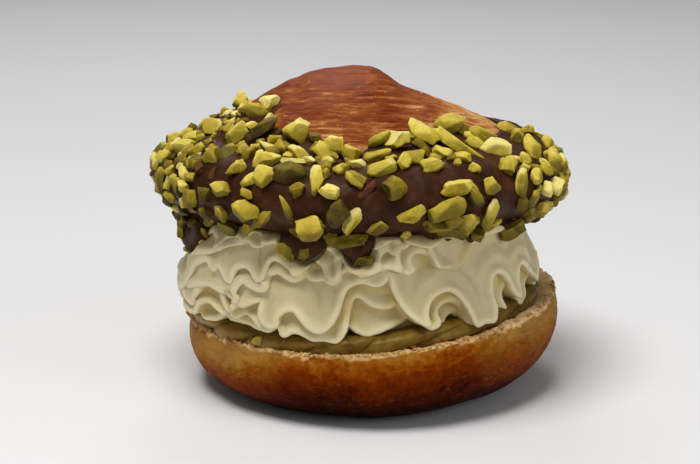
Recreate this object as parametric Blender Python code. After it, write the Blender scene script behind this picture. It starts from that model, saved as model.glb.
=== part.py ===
"""A filled croissant: a round croissant-dough bun cut across, with a layer of pistachio cream, piped
whipped cream in ruffles, and a peaked lid whose side is dipped in chocolate and chopped pistachios.

Metres, +Z up. The bun stands on z = 0 round the middle x = y = 0, and -Y is the front.
"""

import math

import bmesh
import bpy
import numpy as np

MM = 0.001
GAP = 0.3 * MM  # clear space between pieces that touch

# Lower half of the bun
BUN_RADIUS = 54.9 * MM  # at its widest, under the rim
BUN_FLAT_RADIUS = 34.0 * MM  # the flat spot that it stands on
BUN_BELLY_HEIGHT = 16.4 * MM  # where it is widest
BUN_RIM_TURN = math.radians(110)  # how far the side curls round, from straight down to the rim
CUT_HEIGHT = 22.3 * MM  # of the cut over the middle
CUT_SLOPE = 0.0725  # the cut rises towards +X, on average
CUT_MORE_SLOPE = 0.0425  # and by this more on the right and less on the left
CUT_BEND = 15.0 * MM  # half width of the bend between the two
BUN_WAVES = ((2, 0.010, 0.6), (3, 0.006, -1.0))  # out of round: waves round it, share, phase
BUN_RIGHT_SHARE = 0.018  # it reaches this share further to +X than to -X
BUN_COLUMNS = 44
BUN_SIDE_ROWS = 10
FLOOR_RING = 0.5  # share of the flat spot's radius
CUT_RINGS = (0.975, 0.93, 0.55, 0.1)  # shares of the rim's radius
RIM_CRUMB = 0.35 * MM  # how far the torn rim wavers in and out
RIM_CRUMB_RISE = 0.6  # and up and down, as a share of that

# Pistachio cream
SPREAD_RADIUS = 49.9 * MM
SPREAD_NARROWING = 1.1 * MM  # less than that at the back, and half of it at the sides
SPREAD_THICKNESS = 4.4 * MM
SPREAD_SHIFT = -1.6 * MM  # it lies a little towards -X
SPREAD_LOBES = 22
SPREAD_LOBE_DEPTH = 0.9 * MM
SPREAD_EDGE_TURN = math.radians(75)  # its edge is rounded from this far below level to as far above
SPREAD_EDGE_INSET = 0.055  # how far the rounding draws in, as a share of the radius
SPREAD_RINGS = (0.1, 0.55)  # shares of the radius
SPREAD_COLUMNS = 64
SPREAD_EDGE_ROWS = 5

# Whipped cream
CREAM_BOTTOM = CUT_HEIGHT + GAP + SPREAD_THICKNESS + GAP
CREAM_TOP = 56.2 * MM
CREAM_FOOT_RADIUS = 46 * MM
CREAM_SHIFT = -4.2 * MM
CREAM_WIDENING = 1.03  # across, against front to back
CREAM_NARROW_ABOVE = 51.5 * MM  # above this, or less where the coat drips, it stays inside the coat
CREAM_BERTH = 0.75 * MM  # clear space between it and the coat's inside
CREAM_VOXEL = 0.7 * MM
CREAM_SMOOTHINGS = 3
CREAM_TRIANGLES = 3200
CREAM_COLUMNS = 260
CREAM_ROWS = 34
HEM_STEPS = 36  # points along each fold of a hem
HEM_CLEARANCE = 1.1 * MM  # least height of a hem over the cream's bottom
CREAM_SUNK = 1.0  # mm that the body lies within the foot's radius below a hem
CREAM_BELLY = 0.9  # mm that it lies within a tier's radius above the hem
CREAM_SWELL = 0.7  # mm that the belly swells and shrinks
CREAM_STEP = (-0.8, 0.9)  # mm from the hem between which the body steps out
CREAM_TAPER = (3, 15)  # mm above the hem between which it draws in again
CREAM_SOFTNESS = 0.5  # share of each smoothing
# Profile of the lip along a hem, in mm: out from the tier's radius, and across the hem
LIP_OUT = (-6, -2, 0, 0.9, 1.3, 0.6, 1.3, 0.9, 0, -2, -6)
LIP_ACROSS = (1.0, 1.2, 1.35, 1.3, 0.8, 0, -0.8, -1.3, -1.35, -1.2, -1.0)
# Tiers from the lowest up, in mm and degrees. Each front fold is where it ends, its rise, its curl.
CREAM_TIERS = (
    {"radius": 51.2, "height": 29.2, "slope": 0.6, "front_drop": -0.9, "taper": 5.0, "flare": 0.12,
     "lip": 1.0, "start": -66, "others": 21, "rise": 6.8, "seed": 4,
     "front": ((-55.6, 5.5, 1.7), (-44.4, 6.8, 1.9), (-34.4, 7.2, 1.9), (-25.5, 6.0, 1.7), (-20, 4.9, 1.9),
               (-8.6, 0.8, 0.8), (0, 12.2, 1.5), (8, 1.5, 1.0), (18, 3.0, 1.2), (33.4, 8.5, 1.75),
               (41, 1.0, 0.8), (49.6, 11.0, 1.45), (63.7, 6.8, 1.6))},
    {"radius": 49.9, "height": 42.6, "slope": 1.5, "front_drop": 0.0, "taper": 5.0, "flare": 0.1,
     "lip": 0.85, "start": -62, "others": 25, "rise": 4.6, "seed": 8,
     "front": ((-52, 5.0, 1.8), (-41, 4.5, 1.9), (-31, 5.5, 1.8), (-21, 5.0, 1.9), (-11, 4.5, 1.9),
               (-2, 5.0, 1.8), (7, 4.0, 1.7), (26, 7.5, 1.9), (38, 1.2, 1.0), (48, 3.5, 1.5))},
    {"radius": 46.2, "height": 49.8, "slope": 0.0, "front_drop": 0.0, "taper": 2.0, "flare": 0.05,
     "lip": 0.8, "start": -60, "others": 22, "rise": 3.6, "seed": 12,
     "front": ((-46, 4.0, 1.8), (-33, 4.5, 1.7), (-18, 3.5, 1.8), (0, 3.0, 1.5), (20, 3.0, 1.6),
               (44, 4.0, 1.3))},
)  # fmt: skip

# Lid
LID_SHIFT = -2.9 * MM
LID_UNDERSIDE = 56.6 * MM
LID_SIDE_MIDDLE = (39.0 * MM, 64.2 * MM)  # middle of the ellipse that the side follows
LID_SIDE_SIZE = (16.0 * MM, 8.5 * MM)  # and its half width and half height
LID_SIDE_LOW = math.radians(-62)
LID_SIDE_HIGH = math.radians(74)
LID_FLAKE_STEP = 0.55 * MM  # height of the laminated layers' edges
LID_LAYERS = 6  # layers that show on each side of the crest
LID_LAYER_WAVES = ((7, 0.35), (17, 0.2))  # how their edges waver: waves, size in layers
LID_ARCH = 2.1  # power of the arch from the crest to the front and the back
LID_CREST_EASE = 0.035  # half width over which the crest's corners are rounded
LID_COLUMNS = 48
LID_SIDE_ROWS = 6
LID_TOP_RINGS = (0.93, 0.84, 0.74, 0.63, 0.52, 0.41, 0.3, 0.19, 0.08)  # shares of the top's radius
LID_UNDER_RING = 0.5

# The crest of the lid from -X to +X: (share of the top's radius, height above the top's edge in mm)
LID_CREST = (
    (-1.0, 0.0), (-0.93, 3.4), (-0.74, 9.6), (-0.6, 13.4), (-0.52, 15.0), (-0.38, 17.8),
    (-0.24, 18.9), (-0.17, 20.2), (-0.07, 20.6), (0.03, 20.2), (0.09, 19.4), (0.16, 17.6),
    (0.27, 13.7), (0.47, 10.9), (0.63, 8.2), (0.79, 5.5), (0.92, 2.5), (1.0, 0.0),
)  # fmt: skip

# Chocolate coat
COAT_COLUMNS = 72
COAT_THICKNESS = 2.6 * MM
COAT_EDGE_THICKNESS = 1.1 * MM
# Where it has sunk at both ends: (degrees round from the front, spread in degrees, mm thicker near
# the top, mm thicker low down)
COAT_PILES = ((-95, 38, -0.9, 2.6), (88, 30, -1.3, 2.4))
COAT_PILE_START = (0.45, 0.8)  # shares of the way down between which it thickens
COAT_EDGE_SHARE = 0.3  # share of the way down where it reaches its thickness
COAT_LUMPS = 0.35 * MM
COAT_WAVES = ((11, 3), (19, 2))  # how its upper edge wavers: waves round it, size in degrees
COAT_DRIP_LIFT = math.radians(9)  # it starts to hang this much higher where it drips
COAT_WALL = 2.3 * MM  # of the hanging part
COAT_OUTSIDE_ROWS = (0, 0.13, 0.27, 0.43, 0.6, 0.78, 1, 1.45, 1.85, 2)  # see coat_outside
COAT_INSIDE_ROWS = (0.97, 0.65, 0.35, 0.06)  # shares of the way down
DRIP_SWELL = 1.3 * MM  # how far the drips swell outwards
DRIP_SPREAD = 1.15  # each drip's half width where it leaves the edge, against the one given
DRIP_BLUNTNESS = 0.6  # power of the cosine that they follow: less is blunter
DRIP_BERTH = 1.9  # how many times wider the cream's clear room round each drip is
COAT_INSET = 1.2 * MM  # its inside is drawn this far within the lid, whose room is then cut out
COAT_LOW = math.radians(-50)
COAT_INNERMOST = 49.2 * MM  # nothing below the lid comes nearer the middle
# Where its upper edge is: (degrees round from the front towards +X, turn on the side's ellipse)
COAT_TOP = (
    (-90, 103), (-63, 118), (-45, 104), (-28, 94), (-5, 82), (12, 88), (28, 96), (46, 104), (62, 88),
    (90, 78), (125, 80), (160, 76), (200, 84), (235, 82),
)  # fmt: skip
# Drips: (degrees round from the front towards +X, half width in degrees, length in mm)
COAT_DRIPS = (
    (-68, 8, 11.5), (-18, 7, 8.5), (-2, 5, 8.0), (24, 5, 2.0), (37, 5, 3.0), (52, 4, 2.5),
    (78, 5, 3.5), (104, 6, 5.5), (131, 7, 3.0), (158, 5, 7.0), (186, 7, 4.0), (214, 6, 8.0),
    (243, 5, 3.0), (268, 6, 6.0),
)  # fmt: skip
COAT_KEPT_FACES = 0.585  # share of the coat's faces kept once the chips are fused to it
MEND_ROUNDS = 5

# The camera that took the photograph, for the places of the pieces that it shows
PHOTO_DISTANCE = 600 * MM
PHOTO_RISE = math.radians(14)
PHOTO_AIM = (-6.32 * MM, 0.0, 43.7 * MM)
PHOTO_MIDDLE = (350, 232)  # pixel of the aim
PHOTO_ZOOM = 2040  # pixels per unit of width over distance
PHOTO_SCALE = PHOTO_DISTANCE / PHOTO_ZOOM  # size of a pixel at the aim

# Chopped pistachios
CHIP_COUNT = 180
CHIP_LONGEST = 8.0 * MM
CHIP_SHORTEST = 4.4 * MM
CHIP_SPACING = 0.40  # least distance between two chips, as a share of their lengths together
CHIP_STAND = (0.08, 0.24)  # how far a chip's middle stands off the chocolate, in thicknesses
CHIP_SEED = 11
CHIP_TRIES = 400
CHIP_LEAN = 0.7  # how far those in front turn towards the camera
CHIP_SCATTER = 0.25  # and how far the others turn at random
CHIP_WIDTH = (0.6, 0.85)  # width as a share of the length
CHIP_THICKNESS = (0.6, 0.8)  # thickness as a share of the width
CHIP_CUTS = 7
CHIP_CUT_DEPTH = (0.62, 0.95)  # where the cuts lie between its middle and its corners
CHIP_REACH = (0.6, 1.15)  # how near and far its corners stay
# The larger ones in front: pixel across and down, length and width in pixels, turn in degrees
FRONT_CHIPS = (
    (242, 103, 18, 15, 90), (257, 113, 28, 16, -10), (271, 105, 20, 13, 15), (240, 132, 26, 18, 35),
    (266, 131, 34, 13, 22), (213, 134, 24, 21, 20), (228, 153, 24, 13, 85), (213, 158, 23, 16, 100),
    (198, 154, 18, 16, 0), (240, 169, 24, 13, 28), (184, 175, 17, 9, -60), (191, 199, 20, 15, 60),
    (182, 208, 20, 13, -50), (222, 190, 22, 14, 5), (247, 209, 25, 19, -40), (265, 178, 19, 17, 60),
    (257, 161, 21, 9, 80), (271, 150, 24, 9, -33), (271, 160, 19, 14, -30), (290, 177, 36, 19, -20),
    (292, 161, 27, 9, -8), (262, 218, 28, 11, 55), (289, 211, 30, 8, -68), (298, 135, 24, 22, 60),
    (300, 152, 22, 11, -25), (284, 254, 21, 14, -60), (326, 155, 25, 15, -50), (335, 146, 20, 18, 30),
    (352, 154, 19, 17, 0), (315, 184, 31, 12, 88), (329, 191, 18, 12, -20), (355, 179, 21, 14, -45),
    (377, 157, 26, 11, 22), (381, 169, 29, 16, 20), (396, 141, 23, 21, 60), (379, 142, 24, 11, 42),
    (421, 136, 32, 19, -42), (413, 162, 27, 17, -10), (392, 189, 24, 20, -30), (412, 216, 28, 14, 15),
    (313, 223, 24, 22, 20), (342, 213, 25, 20, 70), (353, 221, 28, 12, 58), (348, 243, 36, 12, 8),
    (379, 227, 20, 14, 30), (365, 259, 20, 12, 15), (449, 121, 31, 20, 20), (457, 148, 60, 15, -40),
    (482, 138, 28, 16, -10), (496, 151, 31, 22, 12), (444, 156, 22, 14, -18), (433, 167, 21, 14, 30),
    (507, 129, 23, 13, -5), (505, 168, 17, 15, 60), (532, 152, 36, 16, 85), (526, 162, 15, 12, -20),
    (549, 164, 25, 20, -60), (545, 195, 44, 19, -68), (520, 184, 27, 12, 78), (528, 213, 19, 14, 80),
    (489, 185, 19, 15, 40), (488, 212, 31, 13, 88), (455, 188, 31, 15, 10), (474, 196, 25, 11, -62),
    (445, 208, 36, 19, 15), (468, 218, 22, 18, 50), (438, 225, 28, 13, -8), (452, 234, 34, 9, -6),
    (510, 226, 27, 15, 15), (187, 148, 22, 13, 10), (168, 153, 22, 11, 62), (170, 182, 19, 8, 65),
    (163, 176, 16, 13, 50), (175, 136, 18, 11, 8),
)  # fmt: skip


def smooth_step(value, low, high):
    """0 below low, 1 above high, and a smooth rise between."""
    share = np.clip((value - low) / (high - low), 0.0, 1.0)
    return share * share * (3 - 2 * share)


def cut_rise(x):
    """How far the cut lies above its height over the middle: nearly level on the left, and climbing
    to the right."""
    return CUT_SLOPE * x + CUT_MORE_SLOPE * (np.sqrt(x * x + CUT_BEND**2) - CUT_BEND)


def make_material(name, colour, roughness):
    """A plain Principled material, with its colour given as linear values."""
    material = bpy.data.materials.new(name)
    material.use_nodes = True
    shader = material.node_tree.nodes["Principled BSDF"]
    shader.inputs["Base Color"].default_value = (*colour, 1.0)
    shader.inputs["Roughness"].default_value = roughness
    shader.inputs["Metallic"].default_value = 0.0
    material.diffuse_color = (*colour, 1.0)
    return material


def make_object(name, points, faces, material=None):
    mesh = bpy.data.meshes.new(name)
    mesh.from_pydata(points.reshape(-1, 3).tolist(), [], faces)
    mesh.validate()
    mesh.shade_smooth()
    built = bpy.data.objects.new(name, mesh)
    bpy.context.scene.collection.objects.link(built)
    if material:
        mesh.materials.append(material)
    return built


def ring_faces(rows, columns, join_ends):
    """Quads between neighbouring rings of points. join_ends also joins the last ring to the first."""
    faces = []
    for row in range(rows if join_ends else rows - 1):
        below, above = row * columns, (row + 1) % rows * columns
        for column in range(columns):
            turn = (column + 1) % columns
            faces.append((below + column, below + turn, above + turn, above + column))
    return faces


def closed_stack(rings):
    """Points and faces of a solid from rings stacked from its lower to its upper middle, with a
    point in the middle of each end."""
    rows, columns = rings.shape[:2]
    low, high = rings[0].mean(axis=0), rings[-1].mean(axis=0)
    points = np.concatenate([rings.reshape(-1, 3), low[None], high[None]])
    faces = ring_faces(rows, columns, False)
    last = (rows - 1) * columns
    for column in range(columns):
        turn = (column + 1) % columns
        faces.append((turn, column, rows * columns))
        faces.append((last + column, last + turn, rows * columns + 1))
    return points, faces


def turned(radius, height, angle):
    """Rings of points from a radius and a height for each row and angle. Angle 0 is the front."""
    radius, height, angle = np.broadcast_arrays(radius, height, angle)
    return np.stack([radius * np.sin(angle), -radius * np.cos(angle), height], axis=-1)


def round_angles(count):
    return np.arange(count) / count * 2 * math.pi


def make_bun():
    """The lower half: a flat spot, a quarter ellipse out to the belly, a curl in to the rim, the cut."""
    angle = round_angles(BUN_COLUMNS)[None, :]
    turn = np.linspace(0, BUN_RIM_TURN, BUN_SIDE_ROWS)[:, None]
    uneven = 1 + BUN_RIGHT_SHARE * np.sin(angle)
    for waves, size, phase in BUN_WAVES:
        uneven = uneven + size * np.cos(waves * angle + phase)
    side_radius = BUN_FLAT_RADIUS + (BUN_RADIUS * uneven - BUN_FLAT_RADIUS) * np.sin(turn)
    side_height = BUN_BELLY_HEIGHT * (1 - np.cos(turn)) + 0 * angle
    side_height *= CUT_HEIGHT / side_height[-1, 0]
    crumb = RIM_CRUMB * np.cos(17 * angle + 2 * np.sin(5 * angle))
    side_height[-1:] += crumb * RIM_CRUMB_RISE
    face_radius = (side_radius[-1:] + crumb) * np.array(CUT_RINGS)[:, None]
    face_height = CUT_HEIGHT + 0 * face_radius
    floor_radius = np.array([[FLOOR_RING]]) * BUN_FLAT_RADIUS + 0 * angle
    rings = np.concatenate([
        turned(floor_radius, 0.0, angle),
        turned(side_radius, side_height, angle),
        turned(face_radius, face_height, angle),
    ])  # fmt: skip
    share = np.sqrt(np.clip(rings[..., 2] / CUT_HEIGHT, 0, 1))
    rings[..., 2] += cut_rise(rings[..., 0]) * share
    rings[..., 2] = np.maximum(rings[..., 2], 0)
    material = make_material("bun_crust", (0.30, 0.10, 0.018), 0.55)
    return make_object("bun_base", *closed_stack(rings), material)


def make_spread():
    """The pistachio cream: a disc with a lobed, rounded edge, lying on the cut."""
    angle = round_angles(SPREAD_COLUMNS)[None, :]
    lobes = np.abs(np.sin(SPREAD_LOBES / 2 * angle + 0.8 * np.sin(3 * angle)))
    radius = SPREAD_RADIUS - SPREAD_NARROWING * (1 - np.cos(angle)) / 2 + SPREAD_LOBE_DEPTH * (lobes - 0.5)
    turn = np.linspace(-SPREAD_EDGE_TURN, SPREAD_EDGE_TURN, SPREAD_EDGE_ROWS)[:, None]
    inset = 1 - SPREAD_EDGE_INSET * (1 - np.cos(turn))
    share = (1 + np.sin(turn) / math.sin(SPREAD_EDGE_TURN)) / 2
    height = CUT_HEIGHT + GAP + SPREAD_THICKNESS * share
    flat = np.array(SPREAD_RINGS)[:, None]
    rings = np.concatenate([
        turned(radius * flat, height[0], angle),
        turned(radius * inset, height, angle),
        turned(radius * flat[::-1], height[-1], angle),
    ])  # fmt: skip
    rings[..., 0] += SPREAD_SHIFT
    rings[..., 2] += cut_rise(rings[..., 0])
    material = make_material("pistachio_cream", (0.14, 0.08, 0.012), 0.35)
    return make_object("pistachio_cream", *closed_stack(rings), material)


def tier_folds(tier):
    """The folds of a tier's hem, from the left of the front right round: how many degrees round each
    one ends, how high it rises and how far it curls. The front is given and the rest is drawn."""
    folds, start = list(tier["front"]), tier["start"]
    draw = np.random.default_rng(tier["seed"])
    shares = draw.uniform(0.75, 1.3, tier["others"])
    ends = folds[-1][0] + np.cumsum(shares) / shares.sum() * (360 + start - folds[-1][0])
    for end in ends:
        folds.append((end, tier["rise"] * draw.uniform(0.7, 1.25), draw.uniform(1.5, 2.0)))
    return folds


def squeeze_share(height):
    """How much of the cut's rise the cream takes at a height: all at its bottom and none at its top."""
    return (CREAM_TOP - height) / (CREAM_TOP - CREAM_BOTTOM)


def before_squeeze(height, rise):
    """The height in mm that the squeeze between the sloping cut and the level top brings to the one
    asked for, but no lower than just above the cream's bottom."""
    low, high = CREAM_BOTTOM / MM, CREAM_TOP / MM
    found = (height - rise * high / (high - low)) / (1 - rise / (high - low))
    return np.maximum(found, low + HEM_CLEARANCE / MM)


def hem_line(tier):
    """The winding lower edge of a tier, laid out flat: degrees round and height in mm, and the unit
    normal that points up into the cream. Along each fold the heading swings once like a sine."""
    swing = 2 * math.pi * np.arange(HEM_STEPS) / HEM_STEPS
    around, height, previous = [], [], tier["start"]
    for end, rise, curl in tier_folds(tier):
        ahead = np.cumsum(np.cos(curl * np.sin(swing)))
        up = np.cumsum(np.sin(curl * np.sin(swing)))
        around.append(previous + (end - previous) * ahead / ahead[-1])
        height.append(rise * up / up.max())
        previous = end
    around, height = np.concatenate(around), np.concatenate(height)
    ease = 1 - smooth_step(np.abs((around + 180) % 360 - 180), 0, 90)
    height += tier["height"] + tier["slope"] * np.sin(np.radians(around)) + tier["front_drop"] * ease
    x = tier["radius"] * CREAM_WIDENING * np.sin(np.radians(around)) + CREAM_SHIFT / MM
    height = before_squeeze(height, cut_rise(x * MM) / MM)
    along = np.radians(np.gradient(np.unwrap(around, period=360))) * tier["radius"]
    climb = np.gradient(height)
    length = np.hypot(along, climb)
    return around, height, -climb / length, along / length


def above_hem(degrees, height, hem, radius):
    """Signed distance in mm from the hem, positive in the cream above it, at places laid out flat."""
    around, level, normal_around, normal_up = hem
    distance = np.empty(degrees.shape)
    for row in range(len(degrees)):
        gap_around = np.radians((degrees[row][:, None] - around + 180) % 360 - 180) * radius
        gap_up = height[row][:, None] - level
        nearest = np.argmin(gap_around**2 + gap_up**2, axis=1)
        pick = np.arange(len(nearest))
        side = gap_around[pick, nearest] * normal_around[nearest] + gap_up[pick, nearest] * normal_up[nearest]
        size = np.hypot(gap_around[pick, nearest], gap_up[pick, nearest])
        distance[row] = size * np.sign(side)
    return distance


def cream_body(hems):
    """The body of the cream as rings: it stands proud above each tier's hem and is sunk below it."""
    levels = np.linspace(0, 1, CREAM_ROWS)[:, None]
    degrees = np.arange(CREAM_COLUMNS)[None, :] / CREAM_COLUMNS * 360 + 0 * levels
    height = (CREAM_BOTTOM + (CREAM_TOP - CREAM_BOTTOM) * levels) / MM + 0 * degrees
    angle = np.radians(degrees)
    radius = CREAM_FOOT_RADIUS / MM - CREAM_SUNK + 0 * degrees
    for tier, hem in zip(CREAM_TIERS, hems):
        away = above_hem(degrees, height, hem, tier["radius"])
        swell = CREAM_SWELL * np.sin(5 * angle + tier["seed"]) * np.sin(3 * angle + height / 4)
        belly = tier["radius"] - CREAM_BELLY + swell - tier["taper"] * smooth_step(away, *CREAM_TAPER)
        radius += (belly - radius) * smooth_step(away, *CREAM_STEP)
    return turned(radius * MM, height * MM, angle)


def hem_bead(tier, hem):
    """The rounded, doubled lip along a hem: a profile carried along it, in the plane that holds the
    way outwards and the hem's normal."""
    around, height, normal_around, normal_up = hem
    out, side = np.array(LIP_OUT)[:, None], np.array(LIP_ACROSS)[:, None] * tier["lip"]
    radius = tier["radius"] + out - tier["flare"] * (height - tier["height"])
    angle = np.radians(around) + side * normal_around / tier["radius"]
    return turned(radius * MM, (height + side * normal_up) * MM, angle)


def make_cream():
    """Three ruffled tiers of piped cream over one another, joined into one skin."""
    hems = [hem_line(tier) for tier in CREAM_TIERS]
    shapes = [closed_stack(cream_body(hems))]
    for tier, hem in zip(CREAM_TIERS, hems):
        bead = hem_bead(tier, hem)
        shapes.append((bead.reshape(-1, 3), ring_faces(*bead.shape[:2], True)))
    material = make_material("whipped_cream", (0.62, 0.52, 0.33), 0.5)
    cream = join_shapes("whipped_cream", shapes, material)
    skin = cream.modifiers.new("one skin", "REMESH")
    skin.mode = "VOXEL"
    skin.voxel_size = CREAM_VOXEL
    soft = cream.modifiers.new("soft", "SMOOTH")
    soft.factor = CREAM_SOFTNESS
    soft.iterations = CREAM_SMOOTHINGS
    apply_modifiers(cream)
    points = read_points(cream.data)
    points[:, 2] = np.clip(points[:, 2], CREAM_BOTTOM, CREAM_TOP)
    points[:, 0] = points[:, 0] * CREAM_WIDENING + CREAM_SHIFT
    points[:, 2] += cut_rise(points[:, 0]) * squeeze_share(points[:, 2])
    reach = np.hypot(points[:, 0] - LID_SHIFT, points[:, 1])
    near_drips = drip_length(np.arctan2(points[:, 0] - LID_SHIFT, -points[:, 1]), DRIP_BERTH)
    inside = points[:, 2] > CREAM_NARROW_ABOVE - near_drips
    most = np.where(inside, COAT_INNERMOST - CREAM_BERTH, reach)
    inwards = np.minimum(1, most / np.maximum(reach, MM))
    points[:, 0] = LID_SHIFT + (points[:, 0] - LID_SHIFT) * inwards
    points[:, 1] *= inwards
    cream.data.vertices.foreach_set("co", points.ravel())
    fewer = cream.modifiers.new("fewer faces", "DECIMATE")
    fewer.ratio = CREAM_TRIANGLES / sum(len(face.vertices) - 2 for face in cream.data.polygons)
    apply_modifiers(cream)
    keep_largest(cream.data)
    return cream


def join_shapes(name, shapes, material):
    """One object from several closed shapes that overlap."""
    points, faces, start = [], [], 0
    for shape_points, shape_faces in shapes:
        points.append(shape_points)
        faces += [tuple(start + corner for corner in face) for face in shape_faces]
        start += len(shape_points)
    return make_object(name, np.concatenate(points), faces, material)


def read_points(mesh):
    points = np.empty(len(mesh.vertices) * 3)
    mesh.vertices.foreach_get("co", points)
    return points.reshape(-1, 3)


def apply_modifiers(thing):
    """Keeps the object's mesh as its modifiers leave it."""
    graph = bpy.context.evaluated_depsgraph_get()
    thing.data = bpy.data.meshes.new_from_object(thing.evaluated_get(graph))
    thing.modifiers.clear()


def side_point(turn, outwards=0.0):
    """Radius and height on the lid's side, which is an ellipse, or a way outwards from it."""
    normal = np.stack([np.cos(turn) / LID_SIDE_SIZE[0], np.sin(turn) / LID_SIDE_SIZE[1]])
    normal /= np.linalg.norm(normal, axis=0)
    radius = LID_SIDE_MIDDLE[0] + LID_SIDE_SIZE[0] * np.cos(turn) + outwards * normal[0]
    height = LID_SIDE_MIDDLE[1] + LID_SIDE_SIZE[1] * np.sin(turn) + outwards * normal[1]
    return radius, height


def crest_height(along):
    """Height of the crest above the top's edge, at a share of the top's radius."""
    shares, heights = np.array(LID_CREST).T
    near = np.linspace(-LID_CREST_EASE, LID_CREST_EASE, 7)
    return np.mean([np.interp(along + step, shares, heights) for step in near], axis=0) * MM


def lid_rise(x, y, top_radius):
    """How far the peaked top rises above its edge: the crest runs from -X to +X and falls in an arch
    to the front and the back."""
    along = np.clip(x / top_radius, -1, 1)
    half_chord = np.sqrt(np.clip(top_radius**2 - x**2, 1e-10, None))
    across = np.clip(np.abs(y) / half_chord, 0, 1)
    return crest_height(along) * (1 - across**LID_ARCH), along, across


def lid_top_height(x, y, top_radius, edge_height):
    """The peaked top, with the edges of the dough's layers as low steps that run along the crest."""
    rise, along, across = lid_rise(x, y, top_radius)
    waver = sum(size * np.sin(waves * along) for waves, size in LID_LAYER_WAVES)
    fade = smooth_step(rise, 1 * MM, 5 * MM)
    return edge_height + rise + LID_FLAKE_STEP * ((across * LID_LAYERS + waver) % 1 - 0.5) * fade


def lid_shape(outwards=0.0):
    """Points and faces of the upper half, or of the same shape a way outwards from it: flat below, an
    ellipse for its side, and the peaked, layered top."""
    angle = round_angles(LID_COLUMNS)[None, :]
    turn = np.linspace(LID_SIDE_LOW, LID_SIDE_HIGH, LID_SIDE_ROWS)[:, None]
    side_radius, side_height = side_point(turn, outwards)
    top_radius, edge_height = side_radius[-1, 0], side_height[-1, 0]
    shares = np.array(LID_TOP_RINGS)[:, None]
    x = top_radius * shares * np.sin(angle)
    y = -top_radius * shares * np.cos(angle)
    top = np.stack([x, y, lid_top_height(x, y, top_radius, edge_height)], axis=-1)
    under = turned(np.array([[LID_UNDER_RING]]) * side_radius[0], LID_UNDERSIDE, angle)
    rings = np.concatenate([under, turned(side_radius, side_height, angle), top])
    rings[..., 2] = np.maximum(rings[..., 2], LID_UNDERSIDE - outwards)
    rings[..., 0] += LID_SHIFT
    return closed_stack(rings)


def make_lid():
    material = make_material("lid_crust", (0.30, 0.085, 0.025), 0.4)
    return make_object("croissant_lid", *lid_shape(), material)


def drip_length(angle, wider=1.0):
    """How far the coat hangs below its lower edge at each angle. The drips are rounded lobes."""
    length = 0.5 * MM + 0 * angle
    for degrees, half_width, drop in COAT_DRIPS:
        away = np.abs((np.degrees(angle) - degrees + 180) % 360 - 180) / (half_width * DRIP_SPREAD * wider)
        length = np.maximum(length, drop * MM * np.cos(np.clip(away, 0, 1) * math.pi / 2) ** DRIP_BLUNTNESS)
    return length


def coat_top(angle):
    """Where the coat's upper edge is on the side's ellipse at each angle: it wavers."""
    degrees, turns = np.array(COAT_TOP).T
    turn = np.interp(np.degrees(angle), degrees, turns, period=360)
    return np.radians(turn + sum(size * np.sin(waves * angle) for waves, size in COAT_WAVES))


def coat_low(angle):
    """Where its lower edge is on the side's ellipse."""
    return COAT_LOW + COAT_DRIP_LIFT * smooth_step(drip_length(angle), 1 * MM, 7 * MM)


def coat_surface(turn, outwards, angle):
    """Radius and height on the lid's skin or a way outwards from it. Past the side's top it follows
    the rise of the lid's top."""
    radius, height = side_point(turn, outwards)
    level = LID_SIDE_MIDDLE[1] + LID_SIDE_SIZE[1] + outwards
    height = np.where(turn > math.pi / 2, level, height)
    top_radius = side_point(LID_SIDE_HIGH)[0]
    return radius, height + lid_rise(radius * np.sin(angle), -radius * np.cos(angle), top_radius)[0]


def coat_outside(share, angle):
    """Radius and height on the coat's outside. share is 0 at its upper edge, 1 at its lower edge and
    2 at the tips of the drips."""
    drop = drip_length(angle)
    on_lid = np.clip(share, -0.1, 1)
    turn = coat_top(angle) + (coat_low(angle) - coat_top(angle)) * on_lid
    lumps = COAT_LUMPS * np.sin(9 * angle + 5 * on_lid) * np.sin(math.pi * np.clip(on_lid, 0, 1))
    high, low = COAT_THICKNESS - COAT_EDGE_THICKNESS, 0
    for degrees, spread, above, below in COAT_PILES:
        away = (np.degrees(angle) - degrees + 180) % 360 - 180
        near = np.exp(-((away / spread) ** 2))
        high, low = high + above * MM * near, low + (below - above) * MM * near
    thick = COAT_EDGE_THICKNESS + high * smooth_step(on_lid, 0, COAT_EDGE_SHARE)
    thick = thick + low * smooth_step(on_lid, *COAT_PILE_START)
    radius, height = coat_surface(turn, thick + lumps, angle)
    hang = np.clip(share - 1, 0, 1)
    bulge = DRIP_SWELL * (smooth_step(hang, 0, 0.5) - 1.3 * smooth_step(hang, 0.8, 1))
    return radius + bulge * smooth_step(drop, 1 * MM, 5 * MM), height - drop * hang


def coat_rings(angle):
    """Rings round the coat's cross-section: down the outside and the drips, and up the inside."""
    outside = coat_outside(np.array(COAT_OUTSIDE_ROWS)[:, None], angle)
    lower_edge, tips = coat_outside(np.array([[1.0]]), angle), coat_outside(np.array([[2.0]]), angle)
    inside_radius = np.maximum(lower_edge[0] - COAT_WALL, COAT_INNERMOST)
    turn = coat_top(angle) + (coat_low(angle) - coat_top(angle)) * np.array(COAT_INSIDE_ROWS)[:, None]
    return np.concatenate([
        turned(*outside, angle),
        turned(inside_radius, tips[1] + 0.2 * MM, angle),
        turned(inside_radius, lower_edge[1] - 0.3 * MM, angle),
        turned(*coat_surface(turn, -COAT_INSET, angle), angle),
    ])[::-1]  # fmt: skip


def photo_pixels(points):
    """Where the camera of the photograph sees the points."""
    away = points - np.array(PHOTO_AIM)
    ahead, up = photo_axes()
    distance = PHOTO_DISTANCE + away @ ahead
    across = PHOTO_MIDDLE[0] + PHOTO_ZOOM * away[..., 0] / distance
    return np.stack([across, PHOTO_MIDDLE[1] - PHOTO_ZOOM * (away @ up) / distance], axis=-1)


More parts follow.
